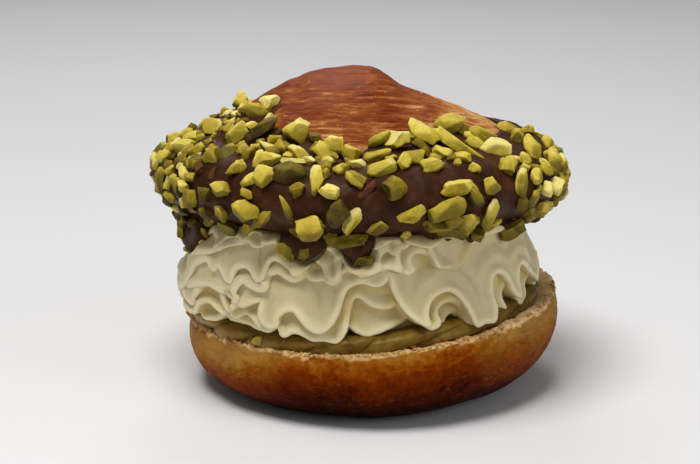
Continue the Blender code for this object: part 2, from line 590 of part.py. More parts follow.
def photo_axes():
    """The camera's way ahead and its way up."""
    rise = PHOTO_RISE
    return np.array([0, math.cos(rise), -math.sin(rise)]), np.array([0, math.sin(rise), math.cos(rise)])


def coat_frame(angle, share):
    """The place on the coat at an angle and a share down it, and the way outwards there."""
    share = min(share, 1.95)
    here, lower = (np.stack(coat_outside(np.array(s), np.array(angle))) for s in (share, share + 0.02))
    along = (lower - here) / np.linalg.norm(lower - here)
    return turned(*here, angle) + [LID_SHIFT, 0, 0], turned(-along[1], along[0], angle)


def front_chips():
    """Place, way outwards, length, width and direction of each of the larger pieces in front."""
    angle = np.radians(np.arange(-98, 99))[None, :]
    share = np.linspace(-0.05, 2, 83)[:, None]
    pixels = photo_pixels(turned(*coat_outside(share, angle), angle) + [LID_SHIFT, 0, 0])
    ahead, up = photo_axes()
    chips = []
    for across, down, length, width, turn in FRONT_CHIPS:
        off = np.hypot(pixels[..., 0] - across, pixels[..., 1] - down)
        row, column = np.unravel_index(np.argmin(off), off.shape)
        place, outwards = coat_frame(float(angle[0, column]), float(share[row, 0]))
        facing = outwards - CHIP_LEAN * ahead
        turn = math.radians(turn)
        direction = np.array([math.cos(turn), 0, 0]) + math.sin(turn) * up
        chips.append((place, facing, length * PHOTO_SCALE, width * PHOTO_SCALE, direction))
    return chips


def chip_wanted(angle, share):
    """How likely a chip is at a place on the coat: thick along the crown and at the two ends."""
    crown = 1 - smooth_step(share, 0.12, 0.34)
    ends = 0.5 * np.abs(np.sin(angle)) ** 2
    return np.clip(0.4 + crown + ends, 0, 1)


def all_chips(draw):
    """The larger pieces in front, then others all round, the longest first and none too close."""
    chips = front_chips()
    lengths = CHIP_SHORTEST * np.exp(draw.gamma(1.7, 0.16, CHIP_COUNT - len(chips)))
    for length in np.sort(np.minimum(lengths, CHIP_LONGEST))[::-1]:
        for _ in range(CHIP_TRIES):
            angle, share, luck = draw.uniform(0, 2 * math.pi), draw.uniform(-0.02, 1.06), draw.uniform()
            place, outwards = coat_frame(angle, share)
            clear = all(
                np.linalg.norm(place - chip[0]) > CHIP_SPACING * (length + chip[2]) for chip in chips
            )
            if clear and luck < chip_wanted(angle, share):
                facing = outwards + CHIP_SCATTER * draw.normal(size=3)
                width = length * draw.uniform(*CHIP_WIDTH)
                chips.append((place, facing, length, width, draw.normal(size=3)))
                break
    return chips


def make_chip(draw, place, facing, length, width, direction):
    """One chopped piece: an icosahedron whose corners are pulled in to a few cut planes."""
    shape = bmesh.new()
    bmesh.ops.create_icosphere(shape, subdivisions=1, radius=1.0)
    corners = np.array([corner.co for corner in shape.verts])
    planes = draw.normal(size=(CHIP_CUTS, 3))
    planes /= np.linalg.norm(planes, axis=1, keepdims=True)
    depths = draw.uniform(*CHIP_CUT_DEPTH, CHIP_CUTS)
    reach = np.min(depths / np.clip(corners @ planes.T, 0.25, None), axis=1)
    corners *= np.clip(reach, *CHIP_REACH)[:, None]
    corners /= np.abs(corners).max(axis=0)
    thick = width * draw.uniform(*CHIP_THICKNESS)
    facing = facing / np.linalg.norm(facing)
    first = direction - facing * (direction @ facing)
    first /= np.linalg.norm(first)
    corners *= np.array([length, width, thick]) / 2
    middle = place + facing * thick * draw.uniform(*CHIP_STAND)
    corners = middle + corners @ np.array([first, np.cross(facing, first), facing])
    reach = np.hypot(corners[:, 0] - LID_SHIFT, corners[:, 1])
    low = corners[:, 2] < LID_UNDERSIDE + 1 * MM
    outwards = np.where(low, np.maximum(1, COAT_INNERMOST / reach), 1)
    corners[:, 0] = LID_SHIFT + (corners[:, 0] - LID_SHIFT) * outwards
    corners[:, 1] *= outwards
    faces = [tuple(corner.index for corner in face.verts) for face in shape.faces]
    shape.free()
    return corners, faces


def keep_largest(mesh):
    """Drops loose scraps and sealed hollows that a union leaves, also where they touch at one corner."""
    shape = bmesh.new()
    shape.from_mesh(mesh)
    left, islands = set(shape.faces), []
    while left:
        island, border = set(), {left.pop()}
        while border:
            face = border.pop()
            island.add(face)
            border |= {other for edge in face.edges for other in edge.link_faces} - island
        left -= island
        islands.append(island)
    islands.sort(key=len)
    for island in islands[:-1]:
        bmesh.ops.delete(shape, geom=list(island), context="FACES")
    shape.to_mesh(mesh)
    shape.free()


def mend(mesh):
    """Takes out the corners of edges that don't join exactly two faces, and fills the holes again."""
    shape = bmesh.new()
    shape.from_mesh(mesh)
    for _ in range(MEND_ROUNDS):
        faulty = {corner for edge in shape.edges if not edge.is_manifold for corner in edge.verts}
        if not faulty:
            break
        bmesh.ops.delete(shape, geom=list(faulty), context="VERTS")
        rims = [edge for edge in shape.edges if edge.is_boundary]
        bmesh.ops.holes_fill(shape, edges=rims, sides=0)
        bmesh.ops.triangulate(shape, faces=[face for face in shape.faces if len(face.verts) > 3])
    bmesh.ops.recalc_face_normals(shape, faces=shape.faces)
    shape.to_mesh(mesh)
    shape.free()


def make_coat():
    """The chocolate coat with its drips, and the chopped pistachios fused to it by one union."""
    angle = round_angles(COAT_COLUMNS)[None, :]
    rings = coat_rings(angle)
    rings[..., 0] += LID_SHIFT
    material = make_material("chocolate", (0.045, 0.016, 0.008), 0.35)
    coat = make_object("chocolate_rim", rings, ring_faces(len(rings), COAT_COLUMNS, True), material)
    draw = np.random.default_rng(CHIP_SEED)
    pile = bpy.data.collections.new("chips")
    bpy.context.scene.collection.children.link(pile)
    for number, chip in enumerate(all_chips(draw)):
        piece = make_object(f"chip_{number}", *make_chip(draw, *chip))
        bpy.context.scene.collection.objects.unlink(piece)
        pile.objects.link(piece)
    fuse = coat.modifiers.new("fused chips", "BOOLEAN")
    fuse.operation = "UNION"
    fuse.operand_type = "COLLECTION"
    fuse.collection = pile
    fuse.solver = "MANIFOLD"
    around_lid = make_object("around_lid", *lid_shape(GAP * 1.6))
    hollow = coat.modifiers.new("room for the lid", "BOOLEAN")
    hollow.operation = "DIFFERENCE"
    hollow.object = around_lid
    hollow.solver = "MANIFOLD"
    fewer = coat.modifiers.new("fewer faces", "DECIMATE")
    fewer.ratio = COAT_KEPT_FACES
    apply_modifiers(coat)
    for helper in [around_lid, *pile.objects]:
        bpy.data.objects.remove(helper)
    bpy.data.collections.remove(pile)
    mend(coat.data)
    keep_largest(coat.data)
    return coat


def main():
    for leftover in list(bpy.data.objects):
        bpy.data.objects.remove(leftover)
    make_bun()
    make_spread()
    make_cream()
    make_lid()
    make_coat()


main()
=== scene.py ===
# A filled croissant bun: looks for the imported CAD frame.
# Shapes are worked out in millimetres and put into the meshes in metres. -Y is the front.
import math

import bmesh
import bpy
import numpy as np
from mathutils import Euler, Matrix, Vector


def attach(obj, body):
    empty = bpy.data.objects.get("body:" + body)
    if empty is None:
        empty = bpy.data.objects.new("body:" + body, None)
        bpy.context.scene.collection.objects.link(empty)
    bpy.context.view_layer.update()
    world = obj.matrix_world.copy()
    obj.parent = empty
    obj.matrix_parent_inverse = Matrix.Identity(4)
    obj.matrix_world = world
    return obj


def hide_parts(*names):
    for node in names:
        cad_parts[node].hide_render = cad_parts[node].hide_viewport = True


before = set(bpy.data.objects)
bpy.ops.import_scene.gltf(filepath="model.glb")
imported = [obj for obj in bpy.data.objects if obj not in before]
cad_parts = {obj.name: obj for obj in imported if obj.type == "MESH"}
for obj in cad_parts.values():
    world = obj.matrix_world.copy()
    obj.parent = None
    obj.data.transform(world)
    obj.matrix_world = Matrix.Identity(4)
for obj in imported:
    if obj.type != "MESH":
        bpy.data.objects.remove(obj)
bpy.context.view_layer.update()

mm = 0.001

camera = {
    "distance": 600.0,  # mm from the aim
    "elevation": 14.0,  # degrees
    "aim": (-6.32, 0.0, 43.7),
    "lens": 104.9,  # mm on a 36 mm sensor
    "zoom": 2040.0,  # pixels for a width equal to the distance
    "middle": (350.0, 232.0),  # pixel of the aim
}
pixelSize = camera["distance"] / camera["zoom"]  # mm


# Small maths


def ease(value, low, high):
    # 0 below low, 1 above high, a smooth rise between
    share = np.clip((value - low) / (high - low), 0.0, 1.0)
    return share * share * (3 - 2 * share)


def lattice(points, size, seed):
    # random numbers from -1 to 1 on a cubic lattice of the given spacing, blended smoothly between corners
    table = np.random.default_rng(seed).uniform(-1, 1, (32, 32, 32)).astype(np.float32)
    place = points / size
    cell = np.floor(place).astype(np.int64)
    part = (place - cell).astype(np.float32)
    part = part * part * (3 - 2 * part)
    low, high = cell % 32, (cell + 1) % 32
    total = 0.0
    for dx, x in ((0, low[..., 0]), (1, high[..., 0])):
        wx = part[..., 0] if dx else 1 - part[..., 0]
        for dy, y in ((0, low[..., 1]), (1, high[..., 1])):
            wy = part[..., 1] if dy else 1 - part[..., 1]
            for dz, z in ((0, low[..., 2]), (1, high[..., 2])):
                wz = part[..., 2] if dz else 1 - part[..., 2]
                total = total + wx * wy * wz * table[x, y, z]
    return total


def fractal(points, size, seed, octaves):
    # lattice noise summed over octaves, each half as large and half as strong as the one before
    total = 0.0
    for octave in range(octaves):
        total = total + lattice(points, size / 2**octave, seed + octave) / 2**octave
    return total


def turned(radius, height, angle):
    # points from a radius, a height and an angle; angle 0 is the front
    radius, height, angle = np.broadcast_arrays(radius, height, angle)
    return np.stack([radius * np.sin(angle), -radius * np.cos(angle), height], axis=-1)


def unit(vectors):
    return vectors / np.maximum(np.linalg.norm(vectors, axis=-1, keepdims=True), 1e-9)


def gridNormals(points):
    # outward normals of a grid whose columns close round: the cross product of its two directions
    along = np.roll(points, -1, axis=1) - np.roll(points, 1, axis=1)
    return unit(np.cross(along, np.gradient(points, axis=0)))


def raised(points, relief):
    return points + gridNormals(points) * relief[..., None]


def narrowed(points, middle, share):
    # points drawn to an upright axis at x = middle, by a share of their distance from it
    shares = np.stack([share, share, 0 * share + 1], axis=-1)
    return (points - [middle, 0, 0]) * shares + [middle, 0, 0]


def crowdedAngles(settings):
    # a row of angles all the way round, closer together in front
    even = np.arange(settings["columns"])[None, :] / settings["columns"] * 2 * math.pi
    return even - settings["crowding"] * np.sin(even)


def degreesFrom(middle, angle):
    # how many degrees an angle lies from a middle given in degrees, from -180 to 180
    return (np.degrees(angle) - middle + 180) % 360 - 180


# Meshes


def addObject(name, data):
    made = bpy.data.objects.new(name, data)
    bpy.context.scene.collection.objects.link(made)
    return made


def addPiece(name, points, faces, material, slot, node=None, attributes=None):
    # one mesh object from points in mm and a list of face arrays, each with its own number of corners
    mesh = bpy.data.meshes.new(name)
    mesh.vertices.add(len(points))
    mesh.vertices.foreach_set("co", (points * mm).astype(np.float32).ravel())
    corners = np.concatenate([face.ravel() for face in faces]).astype(np.int32)
    sizes = np.concatenate([np.full(len(face), face.shape[1]) for face in faces])
    mesh.loops.add(len(corners))
    mesh.loops.foreach_set("vertex_index", corners)
    mesh.polygons.add(len(sizes))
    mesh.polygons.foreach_set("loop_start", (np.cumsum(sizes) - sizes).astype(np.int32))
    mesh.update(calc_edges=True)
    mesh.validate()
    mesh.shade_smooth()
    for label, values in (attributes or {}).items():
        kind = "FLOAT_VECTOR" if values.ndim == 2 else "FLOAT"
        layer = mesh.attributes.new(label, kind, "POINT")
        layer.data.foreach_set("vector" if values.ndim == 2 else "value", values.astype(np.float32).ravel())
    mesh.materials.append(material)
    piece = addObject(name, mesh)
    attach(piece, "root")
    if node:
        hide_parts(node)
    print(name, "has", int((sizes - 2).sum()), "triangles")
    return piece


def gridFaces(rows, columns, joinEnds=False):
    # quads between neighbouring rings of a grid that closes round, and from the last ring to the first
    row = np.arange(rows if joinEnds else rows - 1)[:, None]
    column = np.arange(columns)[None, :]
    nextRow, nextColumn = (row + 1) % rows, (column + 1) % columns
    quads = [row * columns + column, row * columns + nextColumn]
    quads += [nextRow * columns + nextColumn, nextRow * columns + column]
    return np.stack(np.broadcast_arrays(*quads), axis=-1).reshape(-1, 4)


def closedStack(rings):
    # points and faces of rings stacked from the lower middle to the upper middle, with a fan at each end
    rows, columns = rings.shape[:2]
    points = np.concatenate([rings.reshape(-1, 3), rings[:1].mean(axis=1), rings[-1:].mean(axis=1)])
    this = np.arange(columns)
    after = (this + 1) % columns
    low = np.stack([after, this, np.full(columns, rows * columns)], axis=-1)
    top = (rows - 1) * columns
    high = np.stack([top + this, top + after, np.full(columns, rows * columns + 1)], axis=-1)
    return points, [gridFaces(rows, columns), low, high]


def sphere(divisions):
    # corners and triangles of a ball
    shape = bmesh.new()
    bmesh.ops.create_icosphere(shape, subdivisions=divisions, radius=1.0)
    points = np.array([corner.co for corner in shape.verts])
    faces = np.array([[corner.index for corner in face.verts] for face in shape.faces])
    shape.free()
    return points, faces


def repeatedFaces(faces, count, step):
    # the faces of one shape for each of its copies, whose points follow one another
    return (faces[None] + np.arange(count)[:, None, None] * step).reshape(-1, 3)


def withEnds(values):
    # a grid's values as a list, with one for the point in the middle of each end
    return np.concatenate([values.ravel(), values[0].mean(keepdims=True), values[-1].mean(keepdims=True)])


# Materials


class Wire:
    # a socket that turns sums into Math nodes
    def __init__(self, maker, socket):
        self.maker, self.socket = maker, socket

    def math(self, operation, *values):
        return self.maker.node("ShaderNodeMath", {"operation": operation}, dict(enumerate(values)))

    def __add__(self, other):
        return self.math("ADD", self, other)

    def __sub__(self, other):
        return self.math("SUBTRACT", self, other)

    def __rsub__(self, other):
        return self.math("SUBTRACT", other, self)

    def __mul__(self, other):
        return self.math("MULTIPLY", self, other)

    def __abs__(self):
        return self.math("ABSOLUTE", self)

    __radd__, __rmul__ = __add__, __mul__

    def clipped(self):
        return self.maker.node("ShaderNodeClamp", {}, {"Value": self})

    def smooth(self, low, high):
        # 0 below low, 1 above high
        settings = {"interpolation_type": "SMOOTHSTEP"}
        return self.maker.node("ShaderNodeMapRange", settings, {0: self, 1: low, 2: high, 3: 0.0, 4: 1.0})


class Maker:
    # one material: its nodes are made by one method, and it ends in one Principled shader
    def __init__(self, name, subsurface=(), **constants):
        # subsurface: its weight, its depth in mm, and the shares of that depth for red, green and blue
        self.material = bpy.data.materials.new(name)
        self.material.use_nodes = True
        self.tree = self.material.node_tree
        self.shader = self.tree.nodes["Principled BSDF"]
        if subsurface:
            weight, depth, shares = subsurface
            constants.update(Subsurface_Weight=weight, Subsurface_Scale=depth * mm, Subsurface_Radius=shares)
        for label, value in constants.items():
            self.shader.inputs[label.replace("_", " ")].default_value = value

    def node(self, kind, settings, inputs, output=0):
        made = self.tree.nodes.new(kind)
        for label, value in settings.items():
            if label == "stops":
                ramp = made.color_ramp
                for place, colour in value[len(ramp.elements) :]:
                    ramp.elements.new(place)
                for element, (place, colour) in zip(ramp.elements, value):
                    element.position, element.color = place, (*colour, 1.0)
            else:
                setattr(made, label, value)
        for label, value in inputs.items():
            if isinstance(value, Wire):
                self.tree.links.new(value.socket, made.inputs[label])
            elif isinstance(value, tuple) and made.inputs[label].type == "RGBA":
                made.inputs[label].default_value = (*value, 1.0)
            else:
                made.inputs[label].default_value = value
        return Wire(self, made.outputs[output])

    def place(self):
        return self.node("ShaderNodeTexCoord", {}, {}, "Object")

    def attribute(self, label, output="Fac"):
        return self.node("ShaderNodeAttribute", {"attribute_name": label}, {}, output)

    def across(self, place):
        # the x of a place
        return self.node("ShaderNodeSeparateXYZ", {}, {0: place})

    def noise(self, vector, size, detail=3.0, roughness=0.5, distortion=0.0, squeeze=None):
        # size is a patch's width in mm on Object coordinates, and squeeze narrows it along each axis
        if squeeze:
            vector = self.node("ShaderNodeMapping", {}, {"Vector": vector, "Scale": squeeze})
        inputs = {"Vector": vector, "Scale": 1 / (size * mm), "Detail": detail}
        inputs.update({"Roughness": roughness, "Distortion": distortion})
        return self.node("ShaderNodeTexNoise", {}, inputs)

    def cells(self, vector, size):
        return self.node("ShaderNodeTexVoronoi", {}, {"Vector": vector, "Scale": 1 / (size * mm)})

    def mix(self, factor, low, high):
        return self.node("ShaderNodeMix", {"data_type": "RGBA"}, {0: factor, 6: low, 7: high}, 2)

    def layered(self, colour, *layers):
        # layers over a colour, one after another: the factor of each, then what photoColour takes
        for factor, *seen in layers:
            colour = self.mix(factor, colour, photoColour(*seen))
        return colour

    def ramp(self, value, *stops):
        # the place of each stop, then what photoColour takes
        stops = [(place, photoColour(*seen)) for place, *seen in stops]
        return self.node("ShaderNodeValToRGB", {"stops": stops}, {0: value})

    def bump(self, height, distance, strength=1.0):
        inputs = {"Height": height, "Distance": distance * mm, "Strength": strength}
        return self.node("ShaderNodeBump", {}, inputs)

    def finish(self, **links):
        for label, wire in links.items():
            self.tree.links.new(wire.socket, self.shader.inputs[label.replace("_", " ")])
        return self.material


def photoColour(red, green, blue, gain=1.0):
    # a colour as seen, 0 to 255, made linear and lifted for the light that falls on it
    seen = np.array([red, green, blue]) / 255
    linear = np.where(seen <= 0.04045, seen / 12.92, ((seen + 0.055) / 1.055) ** 2.4)
    return tuple(float(value) for value in np.clip(linear * gain, 0, 0.95))


# Where the cut is, which the lower layers follow


def cutRise(x):
    # the cut is nearly level on the left and climbs to the right
    return 0.0725 * x + 0.0425 * (np.sqrt(x * x + 225.0) - 15.0)


# Camera: how the photograph sees a point, and which point on a round wall a pixel shows


def photoAxes():
    rise = math.radians(camera["elevation"])
    ahead = np.array([0, math.cos(rise), -math.sin(rise)])
    return ahead, np.array([0, math.sin(rise), math.cos(rise)])


def photoPixels(points):
    ahead, up = photoAxes()
    away = points - np.array(camera["aim"])
    distance = camera["distance"] + away @ ahead
    across = camera["middle"][0] + camera["zoom"] * away[..., 0] / distance
    down = camera["middle"][1] - camera["zoom"] * (away @ up) / distance
    return np.stack([across, down], axis=-1)


def creamOval(height):
    # the cream's shift to the left and its widening across, which both fade towards the coat
    high = ease(height, 45, 52)
    return -4.2 + 1.3 * high, 1.03 - 0.03 * high


def wallPlaces(pixels, radius, oval=creamOval):
    # degrees round and height in mm of the places on an upright oval wall that the pixels show
    across, down = np.array(pixels, dtype=float).T
    rise = math.radians(camera["elevation"])
    x, y, z = 0 * across, 0 * across - radius, 0 * across + camera["aim"][2]
    for _ in range(12):
        depth = camera["distance"] + y * math.cos(rise) - (z - camera["aim"][2]) * math.sin(rise)
        x = camera["aim"][0] + (across - camera["middle"][0]) * depth / camera["zoom"]
        shift, widening = oval(z)
        sine = np.clip((x - shift) / (radius * widening), -0.998, 0.998)
        y = -radius * np.sqrt(1 - sine**2)
        up = (camera["middle"][1] - down) * depth / camera["zoom"]
        z = camera["aim"][2] + (up - y * math.sin(rise)) / math.cos(rise)
    return np.degrees(np.arcsin(sine)), z


# Bun: the lower half

bun = {
    "radius": 54.9,
    "flatRadius": 34.0,
    "bellyHeight": 16.4,
    "rimTurn": 110.0,  # degrees that the side curls round
    "cutHeight": 22.3,
    "columns": 640,
    "crowding": 0.25,  # of the columns towards the front
    "floorRows": 6,
    "sideRows": 84,
    "faceRows": 34,
    "edgeRise": 0.35,  # the rounded edge of the cut stands over cutHeight by this
    "cutDip": 1.1,  # and the cut face sinks in by this behind it
    "seed": 3,
}


def bunUneven(angle):
    return 1 + 0.010 * np.cos(2 * angle + 0.6) + 0.006 * np.cos(3 * angle - 1.0) + 0.018 * np.sin(angle)


def bunMaterial():
    tint = (1.0, 0.6, 0.22, 1.0)
    make = Maker("bunCrust", (0.04, 2, (1.0, 0.45, 0.2)), Specular_IOR_Level=0.035, Specular_Tint=tint)
    place = make.place()
    x = make.across(place)
    baked = make.attribute("baked")  # 0 at the floor, 1 at the rim: darker low down, partly from baking and partly painted shade near the floor
    crumb = make.attribute("crumb")  # 1 on the cut
    broad = make.noise(place, 16, 3, 0.55)
    patches = make.noise(place, 4.5, 5, 0.68, 0.6, (1, 1, 1.6))
    streaks = make.noise(place, 3.4, 5, 0.7, 1.0, (1.5, 1.5, 0.6))
    fine = make.noise(place, 1.1, 3, 0.6)
    tone = baked - 0.12 + (broad - 0.5) * 0.36 + (patches - 0.5) * 0.5
    tone = tone + (streaks - 0.5) * 0.36 + (fine - 0.5) * 0.16
    # less browned towards both ends, and most at the left
    tone = tone + abs(x).smooth(18 * mm, 50 * mm) * 0.26 + x.smooth(-14 * mm, -44 * mm) * 0.17
    # dark near the floor to pale at the rim; the darkest stops are partly painted shade
    crust = make.ramp(
        tone,
        (0.08, 44, 4, 0, 0.4), (0.3, 72, 15, 0, 0.65), (0.48, 106, 36, 0, 0.78), (0.64, 122, 49, 2, 0.95),
        (0.78, 138, 72, 10, 1.06), (0.89, 150, 98, 28, 1.1), (1.0, 162, 118, 54, 1.05),
    )  # fmt: skip
    speck = make.noise(place, 2.6, 4, 0.7, 1.2, (1, 1, 2.2))
    # fine pale cracks towards both ends
    winding = make.noise(place, 5, 5, 0.72, 1.8, (1, 1, 2.4)) - 0.5
    ends = abs(x).smooth(12 * mm, 34 * mm) * baked.smooth(0.25, 0.5)
    crack = abs(winding).smooth(0.022, 0.004) * ends * broad.smooth(0.42, 0.56)
    crust = make.layered(
        crust,
        (speck.smooth(0.58, 0.7) * 0.4, 154, 92, 26, 1.15),
        (speck.smooth(0.40, 0.30) * 0.35, 80, 26, 3, 0.8),
        (crack * 0.7, 172, 118, 54, 1.2),
    )
    bread = make.noise(place, 2.4, 4, 0.6)
    bread = make.ramp(bread, (0.3, 150, 114, 70, 1.7), (0.5, 170, 138, 92, 1.75), (0.7, 188, 160, 116, 1.75))
    # painted light: the cut face is made paler towards the right; its pores are darker
    bread = make.layered(
        bread,
        (x.smooth(22 * mm, 44 * mm) * 0.75, 188, 158, 118, 1.85),
        (make.cells(place, 1.7).smooth(0.28, 0.12) * 0.3, 124, 88, 48, 1.5),
    )
    colour = make.mix(crumb, crust, bread)
    height = make.noise(place, 0.7, 4, 0.65) * 0.4 + patches * 0.6 - crack * 0.5
    height = height + crumb * make.noise(place, 0.9, 5, 0.7) * 0.9
    roughness = (crumb * 0.3 + 0.56 + (fine - 0.5) * 0.2).clipped()
    return make.finish(Base_Color=colour, Roughness=roughness, Normal=make.bump(height, 0.22))


def makeBun():
    angle = crowdedAngles(bun)
    turn = np.linspace(0, math.radians(bun["rimTurn"]), bun["sideRows"])[:, None]
    sideRadius = bun["flatRadius"] + (bun["radius"] * bunUneven(angle) - bun["flatRadius"]) * np.sin(turn)
    sideHeight = bun["bellyHeight"] * (1 - np.cos(turn)) + 0 * angle
    sideHeight *= bun["cutHeight"] / sideHeight[-1, 0]
    floorRadius = np.linspace(0.1, 0.97, bun["floorRows"])[:, None] * bun["flatRadius"] + 0 * angle
    # a rounded edge, then the cut face, closer rings near the rim
    edge = np.array([0.2, 0.55, 1.0])[:, None]
    edgeRadius = sideRadius[-1:] - 0.45 * edge**2
    edgeHeight = bun["cutHeight"] + bun["edgeRise"] * np.sin(edge * math.pi / 2) + 0 * angle
    share = (1 - np.linspace(0, 1, bun["faceRows"]) ** 0.8)[:, None]
    faceRadius = (sideRadius[-1:] - 0.9) * np.maximum(share, 0.03)
    dip = bun["cutDip"] * ease(1 - share, 0.02, 0.12)
    faceHeight = bun["cutHeight"] + bun["edgeRise"] - dip + 0 * angle
    rings = np.concatenate([
        turned(floorRadius, 0.0, angle),
        turned(sideRadius, sideHeight, angle),
        turned(edgeRadius, edgeHeight, angle),
        turned(faceRadius, faceHeight, angle),
    ])  # fmt: skip
    level = rings[..., 2] / bun["cutHeight"]
    onFace = (np.arange(len(rings)) >= bun["floorRows"] + bun["sideRows"])[:, None] + 0.0 * angle
    nearCut = ease(level, 0.93, 1.0)
    crustRelief = 0.45 * fractal(rings, 17, bun["seed"], 2) + 0.13 * fractal(rings, 4.5, 7, 3)
    wrinkle = np.abs(fractal(rings * [1, 1, 2.4], 6.5, 21, 3))
    crustRelief -= 0.35 * (1 - ease(wrinkle, 0.0, 0.16)) * ease(level, 0.25, 0.6) * (1 - onFace)
    torn = 0.55 * fractal(rings, 2.3, 31, 3) + 0.9 * np.maximum(fractal(rings, 1.5, 41, 2) - 0.2, 0)
    pores = -0.45 * ease(fractal(rings, 1.9, 51, 2), 0.35, 0.7)
    rough = torn * nearCut + pores * onFace
    radial = np.hypot(rings[..., 0], rings[..., 1])
    fade = ease(radial, bun["flatRadius"] * 0.9, bun["flatRadius"] * 1.15)
    rings = raised(rings, crustRelief * (1 - onFace) * fade + rough)
    # the crumb sticks out in a small lip on the left
    lip = np.exp(-((degreesFrom(-82, angle) / 4.5) ** 2)) * nearCut
    rings[..., 0] -= 1.6 * lip
    rings[..., 2] += lip
    rings[..., 2] += cutRise(rings[..., 0]) * np.sqrt(np.clip(level, 0, 1))
    rings[..., 2] = np.maximum(rings[..., 2], 0)
    rimLine = ease(level + 0.05 * fractal(rings, 3.2, 61, 3), 0.97, 1.0)
    # the level darkens the crust towards the floor: partly baking, partly painted shade
    values = {"baked": withEnds(np.clip(level, 0, 1)), "crumb": withEnds(np.maximum(rimLine, onFace))}
    addPiece("bun", *closedStack(rings), bunMaterial(), "bun_crust", "bun_base", values)


# Pistachio cream: a lobed, glossy layer on the cut

spread = {
    "radius": 52.0,
    "narrowing": 2.6,  # less at the back
    "thickness": 4.7,
    "shift": -1.6,
    "lobes": 15,
    "lobeDepth": 1.9,
    "edgeRows": 46,
    "topRows": 14,
    "columns": 720,
    "crowding": 0.25,  # of the columns towards the front
}


def spreadMaterial():
    shine = {"Roughness": 0.34, "Specular_IOR_Level": 0.22, "Specular_Tint": (1.0, 0.85, 0.55, 1.0)}
    make = Maker("pistachioCream", (0.2, 2, (1.0, 0.7, 0.2)), **shine)
    place = make.place()
    x = make.across(place)
    cloud = make.noise(place, 7, 4, 0.6, 0.6)
    grain = make.noise(place, 0.8, 3, 0.6)
    colour = make.ramp(cloud, (0.3, 82, 60, 14, 1.25), (0.5, 102, 79, 26, 1.4), (0.7, 120, 98, 44, 1.55))
    # painted light and shade: paler at the left and darker at the right; and finely speckled
    colour = make.layered(
        colour,
        (x.smooth(-28 * mm, -46 * mm) * 0.6, 124, 96, 40, 1.7),
        (x.smooth(26 * mm, 46 * mm) * 0.6, 80, 54, 8),
        (grain.smooth(0.62, 0.72) * 0.5, 76, 54, 8, 1.3),
    )
    return make.finish(Base_Color=colour, Normal=make.bump(cloud * 0.6 + grain * 0.25, 0.2))


def makeSpread():
    angle = crowdedAngles(spread)
    turn = np.radians(np.linspace(-88, 88, spread["edgeRows"]))[:, None]
    level = (1 + np.sin(turn)) / 2
    # lobes that lean: the valleys between them are sharp and run up to the right
    sway = 0.9 * np.sin(3 * angle + 1) + 0.5 * np.sin(7 * angle)
    lobe = np.abs(np.sin(spread["lobes"] / 2 * angle + sway - 1.5 * level))
    radius = spread["radius"] - spread["narrowing"] * (1 - np.cos(angle)) / 2
    radius = radius + spread["lobeDepth"] * (np.sqrt(lobe) - 0.8) + 0.3 * np.sin(5 * angle + 2)
    # its top draws in further than its foot, which lies out on the cut
    bulge = (0.9 + 2.6 * ease(level, 0.45, 0.9)) * (np.cos(turn) ** 0.8 - 1)
    height = bun["cutHeight"] + spread["thickness"] * level
    edge = turned(radius + bulge, height, angle)
    share = np.linspace(0.94, 0.03, spread["topRows"])[:, None]
    top = turned((radius[-1:] + bulge[-1]) * share, height[-1], angle)
    under = turned((radius[:1] + bulge[0]) * share[::-1], height[0], angle)
    rings = np.concatenate([under, edge, top])
    rings = raised(rings, 0.45 * fractal(rings, 6.5, 71, 3) + 0.10 * fractal(rings, 1.4, 81, 2))
    rings[..., 0] += spread["shift"]
    rings[..., 2] += cutRise(rings[..., 0])
    addPiece("pistachioCream", *closedStack(rings), spreadMaterial(), "pistachio_cream", "pistachio_cream")


def grains(places, sizes, seed):
    # small rounded bits: a ball pushed in and out at its corners
    ball, triangles = sphere(2)
    offset = np.arange(len(places))[:, None, None] * 3.7
    shape = ball[None] * (1 + 0.35 * lattice(ball[None] + offset, 0.7, seed))[..., None]
    points = (places[:, None] + shape * sizes[:, None] / 2).reshape(-1, 3)
    return points, repeatedFaces(triangles, len(places), len(ball))


# Bits in the pistachio cream: pixel across and down, length and height in pixels, and kind, which is
# 0 for a red-brown one and 1 for a green one
flecks = (
    (228, 338, 5, 3, 0), (247, 343, 4, 3, 0), (318, 351, 5, 3, 0), (413, 347, 7, 3, 0), (483, 331, 4, 3, 0),
    (258, 341, 13, 10, 1), (285, 341, 5, 4, 0), (444, 340, 4, 3, 0),
)  # fmt: skip


def makeFlecks():
    across, down, length, height, kind = np.array(flecks, dtype=float).T
    radius = spread["radius"] - 0.2
    degrees, up = wallPlaces(np.stack([across, down], axis=-1), radius, lambda z: (spread["shift"], 1.0))
    places = turned(radius, up, np.radians(degrees)) + [spread["shift"], 0, 0]
    sizes = np.stack([length, 0 * length + 3, height], axis=-1) * pixelSize
    points, faces = grains(places, sizes, 181)
    make = Maker("fleck", Roughness=0.5)
    shade = make.attribute("kind")
    colour = make.mix(shade, photoColour(146, 78, 22, 1.1), photoColour(150, 132, 40, 1.5))
    colour = make.mix(make.noise(make.place(), 1.2) * 0.6, colour, (0.05, 0.03, 0.01))
    values = {"kind": np.repeat(kind, len(points) // len(places))}
    addPiece("flecks", points, [faces], make.finish(Base_Color=colour), "pistachio_cream", None, values)


crumbs = {
    "count": 420,
    "spread": 1.1,  # radians round from the front
    "size": (0.35, 1.15),
    "seed": 191,
}


